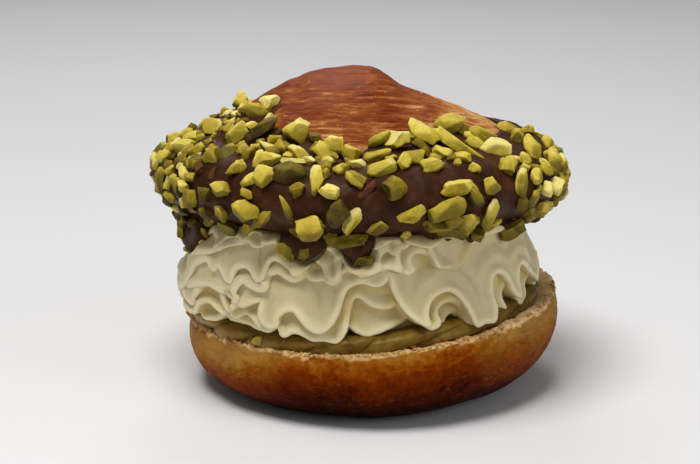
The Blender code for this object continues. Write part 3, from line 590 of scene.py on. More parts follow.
def makeCrumbs():
    # torn crumb along the rim of the cut, thickest in front
    draw, count = np.random.default_rng(crumbs["seed"]), crumbs["count"]
    angle = draw.normal(0, crumbs["spread"], count)
    radius = bun["radius"] * bunUneven(angle) - 1.0 - draw.gamma(1.5, 0.45, count)
    sizes = draw.uniform(*crumbs["size"], (count, 1)) * draw.uniform(0.6, 1.2, (count, 3))
    places = turned(radius, bun["cutHeight"] + 0.1 + draw.uniform(0, 0.5, count), angle)
    places[:, 2] += cutRise(places[:, 0])
    points, faces = grains(places, sizes, 193)
    make = Maker("crumb", Roughness=0.85, Specular_IOR_Level=0.1)
    cloud = make.noise(make.place(), 1.5, 3)
    colour = make.ramp(cloud, (0.35, 160, 122, 70, 1.15), (0.65, 182, 152, 102, 1.2))
    addPiece("crumbs", points, [faces], make.finish(Base_Color=colour), "bun_crust")


# Whipped cream: piped ribbons whose edges wind up and down

cream = {
    "low": 25.4,
    "top": 56.0,
    "core": 45.4,  # radius behind the lowest ribbon
    "laidOut": 50.0,  # radius of the wall that its grid is laid out on
    "middle": -3.5,  # where its flat top and underside close
    "sunk": 3.4,  # how far a ribbon goes in where it is flush
    "columns": 800,
    "crowding": 0.42,  # of the columns towards the front
    "rows": 108,
    "endRows": 7,  # on its flat top, and as many on its underside
    "curvePoints": 10,  # between two corners of a ribbon's edge
    "foldPoints": 12,  # in each drawn fold
    "nearEdge": 22.0,  # how far off an edge is looked for
    "stands": 1.0,  # each ribbon's edge stands out at least this far over the one below
    "narrowest": 48.7,  # radius under the coat and behind its drips
    # how far out it comes at the two ends, height and radius, and the share of what goes beyond that stays
    "beyondReach": 0.22,
    "leftReach": (
        (24, 47.0), (26.9, 50.6), (28.5, 51.5), (30.5, 52.5), (31.6, 51.4), (32.6, 50.5), (34.1, 51.3),
        (35.2, 49.8), (36.5, 48.0), (38.2, 46.4), (46, 45.8), (60, 46.2),
    ),
    "rightReach": (
        (25, 46.0), (28, 50.5), (31, 51.8), (34.5, 52.2), (38, 51.4), (40, 50.0), (42, 48.6), (46, 46.6),
        (60, 45.5),
    ),
}
# Ribbons from the lowest up. "front" is the edge from left to right as pixels of the photograph, across
# and down in turn. "beyond" goes on from it as degrees round and mm up, and the rest is drawn in folds.
# Between the four angles of "flush" it sinks into the ribbon below, wholly between the middle two.
# Sizes in mm. Between the two distances from its edge in "draws", the ribbon draws in by "narrowing".
ribbons = [
    {
        "radius": 48.2, "height": 28.6, "rise": 1.8, "folds": 26, "seed": 5, "left": -0.5, "swell": 0.2,
        "draws": (2, 6), "narrowing": 1.0,
        "front": (
            196, 313, 203, 317, 212, 318, 222, 318, 229, 314, 237, 318, 246, 320, 254, 322, 262, 327, 272,
            329, 290, 326, 310, 322, 335, 322, 349, 326, 357, 330, 366, 334, 372, 332, 379, 330, 387, 327,
            396, 324, 405, 321, 414, 321, 424, 325, 433, 325, 440, 322, 446, 316, 451, 312, 456, 316, 462,
            323, 472, 326, 482, 322, 491, 320, 499, 316, 506, 313, 514, 309, 520, 301, 527, 297, 533, 296,
        ),
    },
    {
        "radius": 50.2, "height": 29.2, "rise": 5.0, "folds": 22, "seed": 4, "left": -0.9, "swell": 0.3,
        "draws": (2, 6), "narrowing": 1.0,
        "front": (
            184, 303, 190, 308, 197, 312, 201, 310, 203, 304, 209, 301, 216, 304, 222, 309, 229, 313, 231,
            309, 234, 314, 240, 316, 248, 313, 256, 318, 264, 327, 272, 329, 279, 327, 283, 329, 284, 333,
            288, 334, 293, 331, 300, 331, 308, 335, 315, 338, 325, 338, 333, 340, 338, 340, 342, 336, 346,
            329, 348, 318, 350, 306, 352, 300, 357, 297, 364, 300, 371, 305, 380, 308, 389, 308, 396, 306,
            402, 312, 410, 319, 420, 325, 430, 327, 437, 322, 436, 313, 440, 306, 446, 302, 452, 301, 458,
            305, 462, 312, 465, 322, 471, 326, 482, 323, 492, 320, 499, 314, 501, 307, 501, 295, 503, 287,
            506, 284, 509, 286, 511, 294, 513, 301, 516, 302, 519, 298, 522, 291, 524, 282, 527, 279, 530,
            284, 532, 295, 535, 292,
        ),
    },
    {
        "radius": 52.0, "height": 30.5, "rise": 6.5, "folds": 20, "seed": 6, "left": -1.2, "swell": 0.5,
        "draws": (2, 14), "narrowing": 6.0,
        "front": (
            182, 294, 188, 302, 193, 303, 194, 297, 199, 290, 206, 286, 214, 286, 219, 292, 224, 303, 229,
            311, 225, 303, 223, 295, 226, 289, 231, 290, 235, 297, 233, 304, 233, 309, 238, 306, 246, 305,
            255, 302, 261, 302, 261, 309, 262, 317, 267, 324, 274, 326, 279, 324, 279, 318, 282, 313, 288,
            310, 295, 311, 301, 317, 308, 325, 317, 330, 325, 329, 331, 324, 336, 316, 340, 306, 343, 295,
            347, 289, 353, 285, 360, 283, 367, 284, 374, 286, 381, 285, 386, 281, 389, 277, 391, 282, 394,
            292, 398, 300, 404, 309, 412, 317, 420, 322, 427, 325, 426, 315, 429, 305, 434, 298, 441, 293,
            449, 291, 456, 293, 463, 300, 467, 308, 470, 318, 474, 324, 482, 321, 491, 319, 493, 306, 493,
            282, 495, 275, 499, 272, 504, 274, 509, 280, 512, 290, 516, 296, 519, 288, 519, 274, 520, 266,
            523, 263, 527, 266, 532, 273, 536, 279,
        ),
    },
    {
        "radius": 49.6, "height": 42.4, "rise": 3.6, "folds": 26, "seed": 8, "left": 0.6, "swell": 0.2,
        "draws": (1.8, 6), "narrowing": 2.2, "flush": (24, 30, 60, 76),
        "front": (
            178, 284, 184, 288, 192, 286, 204, 284, 214, 283, 222, 286, 230, 290, 237, 297, 243, 300, 245,
            297, 242, 291, 244, 285, 248, 281, 252, 281, 258, 285, 266, 288, 272, 286, 271, 279, 273, 274,
            277, 272, 282, 272, 289, 276, 296, 279, 303, 277, 308, 274, 312, 277, 318, 278, 325, 277, 330,
            280, 336, 281, 342, 277, 345, 270, 350, 268, 355, 272, 363, 274, 372, 272, 380, 268, 388, 267,
            396, 270, 405, 270, 411, 267, 408, 261, 408, 256, 412, 252, 419, 251, 425, 254, 430, 260, 434,
            266, 445, 267, 456, 266, 464, 259, 472, 246, 480, 234,
        ),
        "beyond": ((45, 54), (80, 53), (104, 46)),
    },
    {
        "radius": 50.6, "height": 43.2, "rise": 5.0, "folds": 24, "seed": 9, "left": 1.2, "swell": 0.3,
        "draws": (2.5, 12), "narrowing": 3.4, "flush": (24, 30, 60, 76),
        "front": (
            176, 275, 178, 282, 184, 287, 189, 284, 194, 275, 199, 265, 205, 261, 211, 260, 215, 266, 219,
            269, 223, 266, 227, 271, 231, 279, 236, 280, 238, 274, 240, 268, 244, 266, 249, 266, 254, 270,
            258, 276, 262, 279, 266, 277, 268, 270, 270, 262, 276, 259, 284, 262, 290, 267, 296, 273, 302,
            272, 306, 268, 309, 264, 313, 260, 318, 260, 323, 264, 327, 271, 332, 276, 336, 277, 340, 272,
            340, 264, 339, 257, 346, 254, 352, 262, 356, 268, 364, 270, 373, 268, 382, 264, 391, 265, 399,
            268, 397, 262, 397, 256, 400, 250, 405, 246, 412, 244, 421, 245, 427, 249, 431, 255, 435, 263,
            445, 265, 456, 264, 459, 257, 463, 247, 468, 236, 474, 226,
        ),
        "beyond": ((42, 55), (80, 54), (106, 48)),
    },
    {
        "radius": 48.0, "height": 49.5, "rise": 3.0, "folds": 20, "seed": 12, "left": -0.5, "swell": 0.2,
        "draws": (1.8, 6), "narrowing": 1.4,
        "front": (
            203, 252, 212, 251, 221, 250, 230, 247, 238, 243, 250, 241, 258, 240, 263, 243, 269, 243, 275,
            239, 290, 236, 315, 238, 335, 248, 346, 258, 353, 266, 362, 268, 371, 267, 377, 263, 377, 256,
            380, 250, 385, 247, 390, 249, 394, 247, 396, 240, 396, 232, 402, 236, 412, 240, 424, 242, 431,
            241, 435, 235, 441, 229, 454, 226, 470, 225, 485, 224, 505, 224,
        ),
        "beyond": ((66, 55), (100, 51)),
    },
    {
        "radius": 47.6, "height": 51.5, "rise": 2.5, "folds": 18, "seed": 15, "left": -0.5, "swell": 0.1,
        "draws": (1.8, 5), "narrowing": 1.0,
        "front": (
            206, 242, 213, 240, 219, 232, 225, 229, 229, 234, 230, 243, 233, 240, 238, 235, 247, 233, 256,
            236, 259, 231, 264, 228, 271, 230, 274, 236, 279, 240, 300, 236, 330, 236, 370, 244, 384, 238,
            400, 230, 425, 231, 455, 234, 500, 226,
        ),
    },
]  # fmt: skip


def drawnFolds(ribbon, start, end, startHeight, endHeight):
    # folds from one place round to another: along each, the heading swings once like a sine
    draw = np.random.default_rng(ribbon["seed"])
    count = max(3, round(ribbon["folds"] * (end - start) / 360))
    shares = draw.uniform(0.7, 1.35, count)
    ends = start + np.cumsum(shares) / shares.sum() * (end - start)
    swing = 2 * math.pi * np.arange(cream["foldPoints"]) / cream["foldPoints"]
    around, height, previous, base = [], [], start, startHeight
    for number, stop in enumerate(ends):
        curl = draw.uniform(1.45, 1.95)
        ahead, up = np.cumsum(np.cos(curl * np.sin(swing))), np.cumsum(np.sin(curl * np.sin(swing)))
        reach = ribbon["rise"] * draw.uniform(0.65, 1.25)
        goal = endHeight if number == count - 1 else ribbon["height"] + draw.uniform(-0.8, 0.8)
        along = ahead / ahead[-1]
        around.append(previous + (stop - previous) * along)
        height.append(base + (goal - base) * along + reach * up / up.max())
        previous, base = stop, goal
    return np.stack([np.concatenate(around), np.concatenate(height)], axis=-1)


def ribbonEdge(ribbon):
    # the winding edge laid out flat as mm round and mm up, close points on a smooth curve through its corners
    corners = np.stack(wallPlaces(np.reshape(ribbon["front"], (-1, 2)), ribbon["radius"]), axis=-1)
    corners = np.concatenate([corners, np.reshape(ribbon.get("beyond", ()), (-1, 2))])
    (start, startHeight), (end, endHeight) = corners[-1], corners[0] + [360, 0]
    corners = np.concatenate([corners, drawnFolds(ribbon, start, end, startHeight, endHeight)[:-1]])
    corners[:, 0] = np.radians(corners[:, 0]) * ribbon["radius"]
    lap = 2 * math.pi * ribbon["radius"]
    last = np.arange(len(corners))[:, None] - len(corners)
    before = np.roll(corners, 1, axis=0) - [lap, 0] * (last == -len(corners))
    after = np.roll(corners, -1, axis=0) + [lap, 0] * (last == -1)
    later = np.roll(corners, -2, axis=0) + [lap, 0] * (last >= -2)
    share = (np.arange(cream["curvePoints"]) / cream["curvePoints"])[None, :, None]
    a, b, c, d = (part[:, None, :] for part in (before, corners, after, later))
    curve = b + 0.5 * share * (c - a + share * (2 * a - 5 * b + 4 * c - d + share * (3 * (b - c) + d - a)))
    curve = curve.reshape(-1, 2)
    step = np.roll(curve, -1, axis=0) - np.roll(curve, 1, axis=0)
    step[0, 0] += lap
    step[-1, 0] += lap
    return curve, unit(step), np.linalg.norm(step, axis=-1) / 2, lap


def awayFromEdge(around, height, edge):
    # signed distance in mm to the edge, positive in the ribbon above it, the normal at the nearest
    # point and its height; worked out 16 columns at a time against the edge near them
    curve, heading, spacing, lap = edge
    rows, columns = height.shape
    distance, nearestHeight = np.empty((2, rows, columns))
    normal = np.empty((rows, columns, 2))
    for first in range(0, columns, 16):
        block = slice(first, min(first + 16, columns))
        off = (curve[:, 0] - around[0, block].mean() + lap / 2) % lap - lap / 2
        close = np.abs(off) < cream["nearEdge"]
        gapAround = (around[:, block, None] - curve[close, 0] + lap / 2) % lap - lap / 2
        gapUp = height[:, block, None] - curve[close, 1]
        nearest = np.argmin(gapAround**2 + gapUp**2, axis=-1)[..., None]
        near, up = (np.take_along_axis(gap, nearest, -1)[..., 0] for gap in (gapAround, gapUp))
        nearest = nearest[..., 0]
        ahead = heading[close][nearest]
        side = -near * ahead[..., 1] + up * ahead[..., 0]
        along = np.abs(near * ahead[..., 0] + up * ahead[..., 1])
        past = np.maximum(along - spacing[close][nearest] / 2, 0)
        distance[:, block] = np.where(side < 0, -1, 1) * np.hypot(side, past)
        normal[:, block] = np.stack([-ahead[..., 1], ahead[..., 0]], axis=-1)
        nearestHeight[:, block] = curve[close][nearest, 1]
    return distance, normal, nearestHeight


def creamMaterial():
    make = Maker("whippedCream", (0.3, 2.2, (1.0, 0.8, 0.5)), Roughness=0.5, Specular_IOR_Level=0.4)
    place = make.place()
    colour = make.ramp(make.noise(place, 9, 3, 0.5), (0.3, 194, 179, 134, 1.1), (0.7, 202, 189, 148, 1.13))
    # a painted highlight is 1 along the ribbons' edges, and a painted shade is 1 deep under them and just
    # under the coat
    colour = make.layered(
        colour,
        (make.attribute("ridge") * 0.65, 216, 205, 170, 1.24),
        (make.attribute("hollow") * 0.6, 190, 165, 92, 1.18),
    )
    grain = make.noise(place, 0.55, 3, 0.6)
    normal = make.bump(grain * 0.5 + make.cells(place, 0.9) * 0.3, 0.06, 0.8)
    return make.finish(Base_Color=colour, Normal=normal)


def makeCream():
    angle = crowdedAngles(cream)
    level = np.linspace(0, 1, cream["rows"])[:, None]
    height = cream["low"] + (cream["top"] - cream["low"]) * level + 0 * angle
    grid = turned(cream["laidOut"], height, angle)
    radius = cream["core"] + 0.5 * lattice(grid, 12, 91)
    # at the left the lower ribbons keep back, the middle ones stand out as fins, and it draws in above
    left = ease(-np.sin(angle), 0.75, 1.0) + 0 * height
    around, up, hollow, ridge = (0 * height for _ in range(4))
    # across an edge: behind it, its underside, the rounded lip, the dip behind the lip, the body
    places = (-0.95, -0.6, -0.25, 0.1, 0.5, 1.0, 1.6, 2.4, 3.4, 5.0)
    outs = (-2.6, -1.2, 0.1, 0.8, 1.05, 0.9, 0.3, -0.25, -0.35, 0.0)
    slides = (0.75, 0.15, -0.35, -0.5, -0.4, -0.15, 0.0, 0.0, 0.0, 0.0)
    for ribbon in ribbons:
        edge = ribbonEdge(ribbon)
        size, seed = ribbon["radius"], ribbon["seed"]
        distance, normal, edgeHeight = awayFromEdge(angle * size + 0 * height, height, edge)
        past = np.maximum(distance, 0)
        # tips stand out and arches stand back, which also flutes the body above them
        low = ease(edgeHeight, ribbon["height"] + ribbon["rise"], ribbon["height"] - 0.5)
        flushAngles = ribbon.get("flush", (360, 361, 362, 363))
        degrees = degreesFrom(0, angle)
        free = 1 - ease(degrees, *flushAngles[:2]) * (1 - ease(degrees, *flushAngles[2:]))
        flute = (low - 0.5) * 2.2 * np.exp(-past / 6) * free
        swell = ribbon["swell"] * np.sin(math.pi * np.clip((distance - 1) / 12, 0, 1))
        narrowing = ribbon["narrowing"] * ease(distance, *ribbon["draws"])
        flow = 0.22 * fractal(grid * [1, 1, 0.45] + normal[..., :1] * 2, 3.2, seed + 40, 2)
        body = size + ribbon["left"] * left + flute + swell - narrowing + 0.5 * lattice(grid, 14, seed)
        body = body + flow * ease(distance, 0.8, 3) - cream["sunk"] * (1 - free)
        least = radius + cream["stands"] * (0.2 + 0.8 * free) * np.exp(-past / 5)
        body = (body + least + np.sqrt((body - least) ** 2 + 0.4)) / 2
        shown = 0.15 + 0.85 * free
        inside = ease(distance, -1.0, -0.5)
        lipped = np.maximum(body + np.interp(distance, places, outs) * shown, radius)
        radius = np.where(distance > -1.0, radius * (1 - inside) + lipped * inside, radius)
        near = ease(distance, -1.6, -0.95)
        slide = np.interp(distance, places, slides) * near * shown
        around = around * (1 - near) + slide * normal[..., 0]
        up = up * (1 - near) + slide * normal[..., 1]
        uncovered = 1 - ease(distance, -0.8, 0.0)
        # painted highlight: paler, whiter cream along each ribbon's lip
        ridge = ridge * uncovered + np.exp(-(((distance - 0.6) / 0.75) ** 2)) * free
        # painted shade: yellower, darker cream deep under each ribbon's lip
        under = ease(distance, -0.2, -1.0) * ease(distance, -5, -1.5)
        hollow = np.maximum(hollow * uncovered, under * ease(size - radius, 0.0, 1.5))
    for side, reaches in ((-1, cream["leftReach"]), (1, cream["rightReach"])):
        elsewhere = 1 - ease(side * np.sin(angle), 0.8, 0.98)
        most = np.interp(height, *np.array(reaches).T) + 20 * elsewhere
        held = (radius + most - np.sqrt((radius - most) ** 2 + 0.3)) / 2
        radius = held + cream["beyondReach"] * (radius - held)
    points = turned(radius, height + up, angle + around / cream["laidOut"])
    points = raised(points, 0.12 * fractal(points, 3.0, 101, 2) + 0.03 * lattice(points, 0.8, 103))
    shift, widening = creamOval(points[..., 2])
    points[..., 0] = points[..., 0] * widening + shift
    # under the coat and behind its drips it keeps further in
    reach = np.hypot(points[..., 0] - lid["shift"], points[..., 1])
    place = np.arctan2(points[..., 0] - lid["shift"], -points[..., 1])
    drop = dripLength(place, 1.02)
    free = ease(points[..., 2], 55.6 - drop, 54.6 - drop)
    # painted shade: yellower, darker cream just under the coat and its drips
    hollow = np.maximum(hollow, 0.5 * ease(points[..., 2], 49.5 - drop, 54.5 - drop))
    most = cream["narrowest"] + 6 * free
    over = np.maximum(reach - most + 1.0, 0)
    softened = np.where(reach > most - 1.0, most - 1.0 + over / (1 + over), reach)
    points = narrowed(points, lid["shift"], softened / np.maximum(reach, 1e-6))
    share = np.linspace(0.97, 0.04, cream["endRows"])[:, None]
    low, top = (narrowed(row, cream["middle"], share) for row in (points[:1], points[-1:]))
    rings = np.concatenate([low[::-1], points, top])
    plain = np.zeros((cream["endRows"], cream["columns"]))
    values = {"hollow": hollow, "ridge": ridge}
    values = {name: withEnds(np.concatenate([plain, field, plain])) for name, field in values.items()}
    addPiece("whippedCream", *closedStack(rings), creamMaterial(), "whipped_cream", "whipped_cream", values)


# Lid: the peaked upper half with the layers' edges on its top

lid = {
    "shift": -2.9,
    "underside": 56.6,
    "sideMiddle": (39.0, 64.2),  # radius and height of the middle of the side's ellipse
    "sideSize": (16.0, 8.5),  # half its width and half its height
    "sideLow": -62.0,  # its turn at the underside and at the top's edge, in degrees
    "sideHigh": 74.0,
    "columns": 560,
    "crowding": 0.15,  # of the columns towards the front
    "underRows": 4,
    "sideRows": 24,
    "topRows": 128,
    "arch": 2.1,  # power of the fall from the crest
    "layerHeight": 1.9,
    "layerStep": 0.38,
}
# the crest from -X to +X: share of the top's radius, height above the top's edge
lidCrest = (
    (-1.0, 0.0), (-0.93, 3.4), (-0.74, 9.6), (-0.6, 13.4), (-0.52, 15.0), (-0.38, 17.8),
    (-0.24, 18.9), (-0.17, 19.8), (-0.07, 20.2), (0.03, 20.0), (0.09, 19.3), (0.16, 17.6),
    (0.27, 13.7), (0.47, 10.9), (0.63, 8.2), (0.79, 5.5), (0.92, 2.5), (1.0, 0.0),
)  # fmt: skip


def sidePoint(turn, outwards=0.0):
    # radius and height on the side, an ellipse, or a way outwards from it along its normal
    width, tall = lid["sideSize"]
    normal = np.stack([np.cos(turn) / width, np.sin(turn) / tall])
    normal = normal / np.linalg.norm(normal, axis=0)
    radius = lid["sideMiddle"][0] + width * np.cos(turn) + outwards * normal[0]
    return radius, lid["sideMiddle"][1] + tall * np.sin(turn) + outwards * normal[1]


def crestHeight(along):
    shares, heights = np.array(lidCrest).T
    near = np.linspace(-0.035, 0.035, 7)
    return np.mean([np.interp(along + step, shares, heights) for step in near], axis=0)


def lidRise(x, y):
    # height over the top's edge: the crest runs from -X to +X and falls in an arch to the front and the
    # back, where across is -1 and 1
    topRadius = sidePoint(math.radians(lid["sideHigh"]))[0]
    along = np.clip(x / topRadius, -1, 1)
    halfChord = np.sqrt(np.clip(topRadius**2 - x**2, 1e-4, None))
    across = np.clip(y / halfChord, -1, 1)
    return crestHeight(along) * (1 - np.abs(across) ** lid["arch"]), across


def lidMaterial():
    tint = (1.0, 0.72, 0.42, 1.0)
    make = Maker("lidCrust", (0.05, 1.5, (1.0, 0.4, 0.2)), Specular_IOR_Level=0.09, Specular_Tint=tint)
    place = make.place()
    x = make.across(place)
    flow = make.attribute("flow", "Vector")  # along the crest, front or back, and the layers' level
    layer = make.attribute("layer")  # 0 to 1 within each layer
    lower = make.attribute("lower")  # 0 at the crest, 1 at the edge
    bands = make.noise(flow, 1.5, 5, 0.62, 0.5, (0.12, 1, 1))
    dashes = make.noise(flow, 0.55, 5, 0.7, 0.8, (0.16, 1, 1))
    patches = make.noise(flow, 5, 4, 0.6, 0.6, (0.45, 1, 1))
    tone = bands * 0.4 + dashes * 0.32 + patches * 0.3 + (layer - 0.5) * 0.05 + (lower - 0.4) * 0.08
    tone = (tone - 0.52) * (lower.smooth(0.02, 0.34) * 0.55 + 0.5) + 0.54  # calmer near the crest
    tone = tone + x.smooth(4 * mm, 32 * mm) * 0.15 - 0.01
    colour = make.ramp(
        tone,
        (0.41, 100, 32, 9, 0.8), (0.485, 130, 54, 18, 0.75), (0.545, 146, 72, 28, 0.8),
        (0.60, 166, 104, 50, 0.95), (0.67, 190, 142, 86, 1.1),
    )  # fmt: skip
    red = make.noise(place, 17, 2, 0.5).smooth(0.45, 0.7) * (1 - lower.smooth(0.1, 0.5) * 0.6)
    crack = make.noise(flow, 0.8, 4, 0.6, 0.3, (0.07, 1, 1)).smooth(0.41, 0.36)
    flake = make.noise(flow, 0.7, 3, 0.7, 0, (0.3, 1, 1)).smooth(0.66, 0.72)
    colour = make.layered(
        colour,
        (red * 0.4, 146, 66, 28),
        (crack * 0.6, 96, 36, 16, 1.1),
        (flake * 0.6, 204, 160, 110, 1.3),
    )
    height = dashes * 0.8 + bands * 0.8 - crack * 0.4 + make.noise(place, 0.5, 3, 0.6) * 0.3
    roughness = (tone.smooth(0.45, 0.65) * 0.2 + 0.42).clipped()
    return make.finish(Base_Color=colour, Roughness=roughness, Normal=make.bump(height, 0.22))


def makeLid():
    angle = crowdedAngles(lid)
    turn = np.radians(np.linspace(lid["sideLow"], lid["sideHigh"], lid["sideRows"]))[:, None]
    sideRadius, sideHeight = sidePoint(turn)
    share = np.linspace(0.99, 0.012, lid["topRows"])[:, None]
    x, y = sideRadius[-1] * share * np.sin(angle), -sideRadius[-1] * share * np.cos(angle)
    rise, across = lidRise(x, y)
    # layers: low steps whose edges lie nearly level as the front shows them, and waver
    level = 0.97 * (sideHeight[-1] + rise) - 0.25 * np.abs(y)
    place = np.stack([x, y, level], axis=-1)
    waver = 0.55 * lattice(place * [0.3, 0.3, 1.0], 4.0, 111)
    waver = waver + 0.3 * lattice(place * [0.3, 0, 0], 3, 112)
    layer = (level / lid["layerHeight"] + waver) % 1
    step = ease(layer, 0.0, 0.8) - ease(layer, 0.88, 1.0)
    fade = ease(rise, 0.8, 5)
    strength = 0.55 + 0.45 * lattice(place * [0.4, 0.4, 1], 6, 113)
    relief = lid["layerStep"] * (step - 0.5) * strength * fade
    relief += 0.10 * fractal(place * [0.16, 0.16, 1], 0.9, 121, 2) * fade
    relief += 0.35 * fractal(place, 13, 131, 2) * fade
    # scallops along the crest
    scallop = 0.4 * lattice(np.stack([x, 0 * x, 0 * x], axis=-1), 3.6, 143) * (1 - np.abs(across)) ** 2
    top = np.stack([x, y, sideHeight[-1] + rise + relief + scallop * fade], axis=-1)
    share = np.linspace(0.05, 0.96, lid["underRows"])[:, None]
    under = turned(share * sideRadius[0], lid["underside"], angle)
    rings = np.concatenate([under, turned(sideRadius, sideHeight, angle), top])
    rings[..., 2] = np.maximum(rings[..., 2], lid["underside"])
    rings[..., 0] += lid["shift"]
    below = lid["underRows"] + lid["sideRows"]
    plain = np.zeros((below, lid["columns"]))
    flow = np.stack([x, 3 * np.sign(y) + 0.1 * y, level], axis=-1)
    flow = np.concatenate([rings[:below], flow]).reshape(-1, 3) * mm
    values = {
        "flow": np.concatenate([flow, flow[:1], flow[-1:]]),
        "layer": withEnds(np.concatenate([plain, layer])),
        "lower": withEnds(np.concatenate([plain + 1, np.abs(across)])),
    }
    addPiece("croissantLid", *closedStack(rings), lidMaterial(), "lid_crust", "croissant_lid", values)


# Chocolate coat round the lid's side

coat = {
    "thickness": 2.6,
    "edgeThickness": 1.1,
    # where it has sunk at both ends: degrees round, spread in degrees, mm thicker near the top and low down
    "piles": ((-95, 38, -0.9, 2.6), (88, 30, -1.3, 2.4)),
    "inside": 0.15,  # its inside lies this far off the lid
    "low": -50.0,  # turn of its lower edge on the side's ellipse
    "dripRise": 9.0,  # the lower edge turns up by this behind a drip
    "innermost": 49.2,
    "rows": 44,
    "dripRows": 14,
    "columns": 900,
    "crowding": 0.25,  # of the columns towards the front
    "seed": 17,
}
# where its upper edge is: degrees round from the front towards +X, turn on the side's ellipse
coatTop = (
    (-90, 103), (-63, 118), (-45, 104), (-28, 94), (-5, 82), (12, 88), (28, 96), (46, 104), (62, 88),
    (90, 77), (125, 70), (160, 68), (200, 80), (235, 82),
)  # fmt: skip
# drips: degrees round from the front, half width in degrees, length in mm
coatDrips = (
    (-67, 10, 12), (-18, 7, 8.5), (-2, 5, 8.0), (24, 5, 2.0), (37, 5, 3.0), (52, 4, 2.5),
    (78, 5, 3.5), (104, 6, 5.5), (131, 7, 3.0), (158, 5, 7.0), (186, 7, 4.0), (214, 6, 8.0),
    (243, 5, 3.0), (268, 8, 6.5),
)  # fmt: skip


def dripLength(angle, wider=1.0):
    # how far the coat hangs below its lower edge: the drips are rounded lobes
    length = 0.5 + 0 * angle
    for degrees, halfWidth, drop in coatDrips:
        away = np.abs(degreesFrom(degrees, angle)) / (halfWidth * 1.15 * wider)
        length = np.maximum(length, drop * np.cos(np.clip(away, 0, 1) * math.pi / 2) ** 0.6)
    return length


def coatEdge(angle):
    degrees, turns = np.array(coatTop).T
    turn = np.interp(np.degrees(angle), degrees, turns, period=360)
    return np.radians(turn + 3 * np.sin(11 * angle) + 2 * np.sin(19 * angle))


def coatTurn(angle, share):
    # the turn on the side's ellipse at a share of the way from the upper edge to the lower one
    high = coatEdge(angle)
    low = math.radians(coat["low"]) + math.radians(coat["dripRise"]) * ease(dripLength(angle), 1, 7)
    return high + (low - high) * share


def coatSurface(turn, outwards, angle):
    # the lid's skin or a way outwards from it; past the side's top it follows the rise of the lid's top
    radius, height = sidePoint(turn, outwards)
    level = lid["sideMiddle"][1] + lid["sideSize"][1] + outwards
    height = np.where(turn > math.pi / 2, level, height)
    return radius, height + lidRise(radius * np.sin(angle), -radius * np.cos(angle))[0]


def coatOutside(share, angle):
    # share is 0 at the upper edge, 1 at the lower edge and 2 at the tips of the drips
    drop = dripLength(angle)
    onLid = np.clip(share, -0.1, 1)
    lumps = 0.35 * np.sin(9 * angle + 5 * onLid) * np.sin(math.pi * np.clip(onLid, 0, 1))
    high, low = coat["thickness"] - coat["edgeThickness"], 0
    for degrees, spreading, above, below in coat["piles"]:
        near = np.exp(-((degreesFrom(degrees, angle) / spreading) ** 2))
        high, low = high + above * near, low + (below - above) * near
    thick = coat["edgeThickness"] + high * ease(onLid, 0, 0.3) + low * ease(onLid, 0.45, 0.8)
    radius, height = coatSurface(coatTurn(angle, onLid), thick + lumps, angle)
    hang = np.clip(share - 1, 0, 1)
    bulge = 1.3 * (ease(hang, 0, 0.5) - 1.3 * ease(hang, 0.8, 1))
    return radius + bulge * ease(drop, 1, 5), height - drop * hang


def coatMaterial():
    make = Maker("chocolate", Specular_IOR_Level=0.16, Specular_Tint=(1.0, 0.78, 0.58, 1.0))
    place = make.place()
    cloud = make.noise(place, 8, 4, 0.6, 0.5)
    smear = make.noise(place, 1.6, 4, 0.6)
    colour = make.ramp(cloud, (0.3, 42, 18, 8), (0.5, 57, 29, 14), (0.72, 76, 45, 27))
    colour = make.layered(colour, (smear.smooth(0.6, 0.75) * 0.4, 96, 64, 42, 1.1))
    normal = make.bump(cloud * 0.8 + make.noise(place, 0.9, 3, 0.6) * 0.25, 0.25)
    return make.finish(Base_Color=colour, Roughness=(smear * 0.25 + 0.36).clipped(), Normal=normal)


def makeCoat():
    angle = crowdedAngles(coat)
    drips = 1 + np.linspace(0, 1, coat["dripRows"] + 1)[1:]
    shares = np.concatenate([np.linspace(0, 1, coat["rows"]), drips])[:, None]
    radius, height = coatOutside(shares, angle)
    outside = turned(radius, height, angle)
    # soft lumps, and a ragged lower edge with small points of chocolate
    hanging = ease(shares, 0.8, 1.3)
    lumps = 0.42 * fractal(outside, 5.5, coat["seed"], 3) * ease(shares, 0.0, 0.12)
    outside = raised(outside, -lumps * (1 - 0.5 * ease(shares, 1.7, 2.0)))  # these normals point inwards
    ragged = lattice(np.stack([angle * 50, 0 * angle, 0 * angle], axis=-1), 1.5, 151)
    outside[..., 2] -= 2.4 * np.maximum(ragged - 0.25, 0) * hanging
    lower, tips = coatOutside(np.array([[1.0]]), angle), outside[-1:, :, 2]
    insideRadius = np.maximum(lower[0] - 2.3, coat["innermost"])
    turn = coatTurn(angle, np.array([0.97, 0.8, 0.65, 0.5, 0.35, 0.2, 0.06])[:, None])
    rings = np.concatenate([
        outside,
        turned(insideRadius + 0.4, tips - 0.1, angle),
        turned(insideRadius, tips + 0.3, angle),
        turned(insideRadius, (tips + lower[1]) / 2, angle),
        turned(insideRadius, lower[1] - 0.3, angle),
        turned(*coatSurface(turn, coat["inside"], angle), angle),
    ])[::-1]  # fmt: skip
    rings[..., 0] += lid["shift"]
    faces = [gridFaces(len(rings), coat["columns"], True)]
    addPiece("chocolateCoat", rings.reshape(-1, 3), faces, coatMaterial(), "chocolate", "chocolate_rim")


# Chopped pistachios set in the chocolate

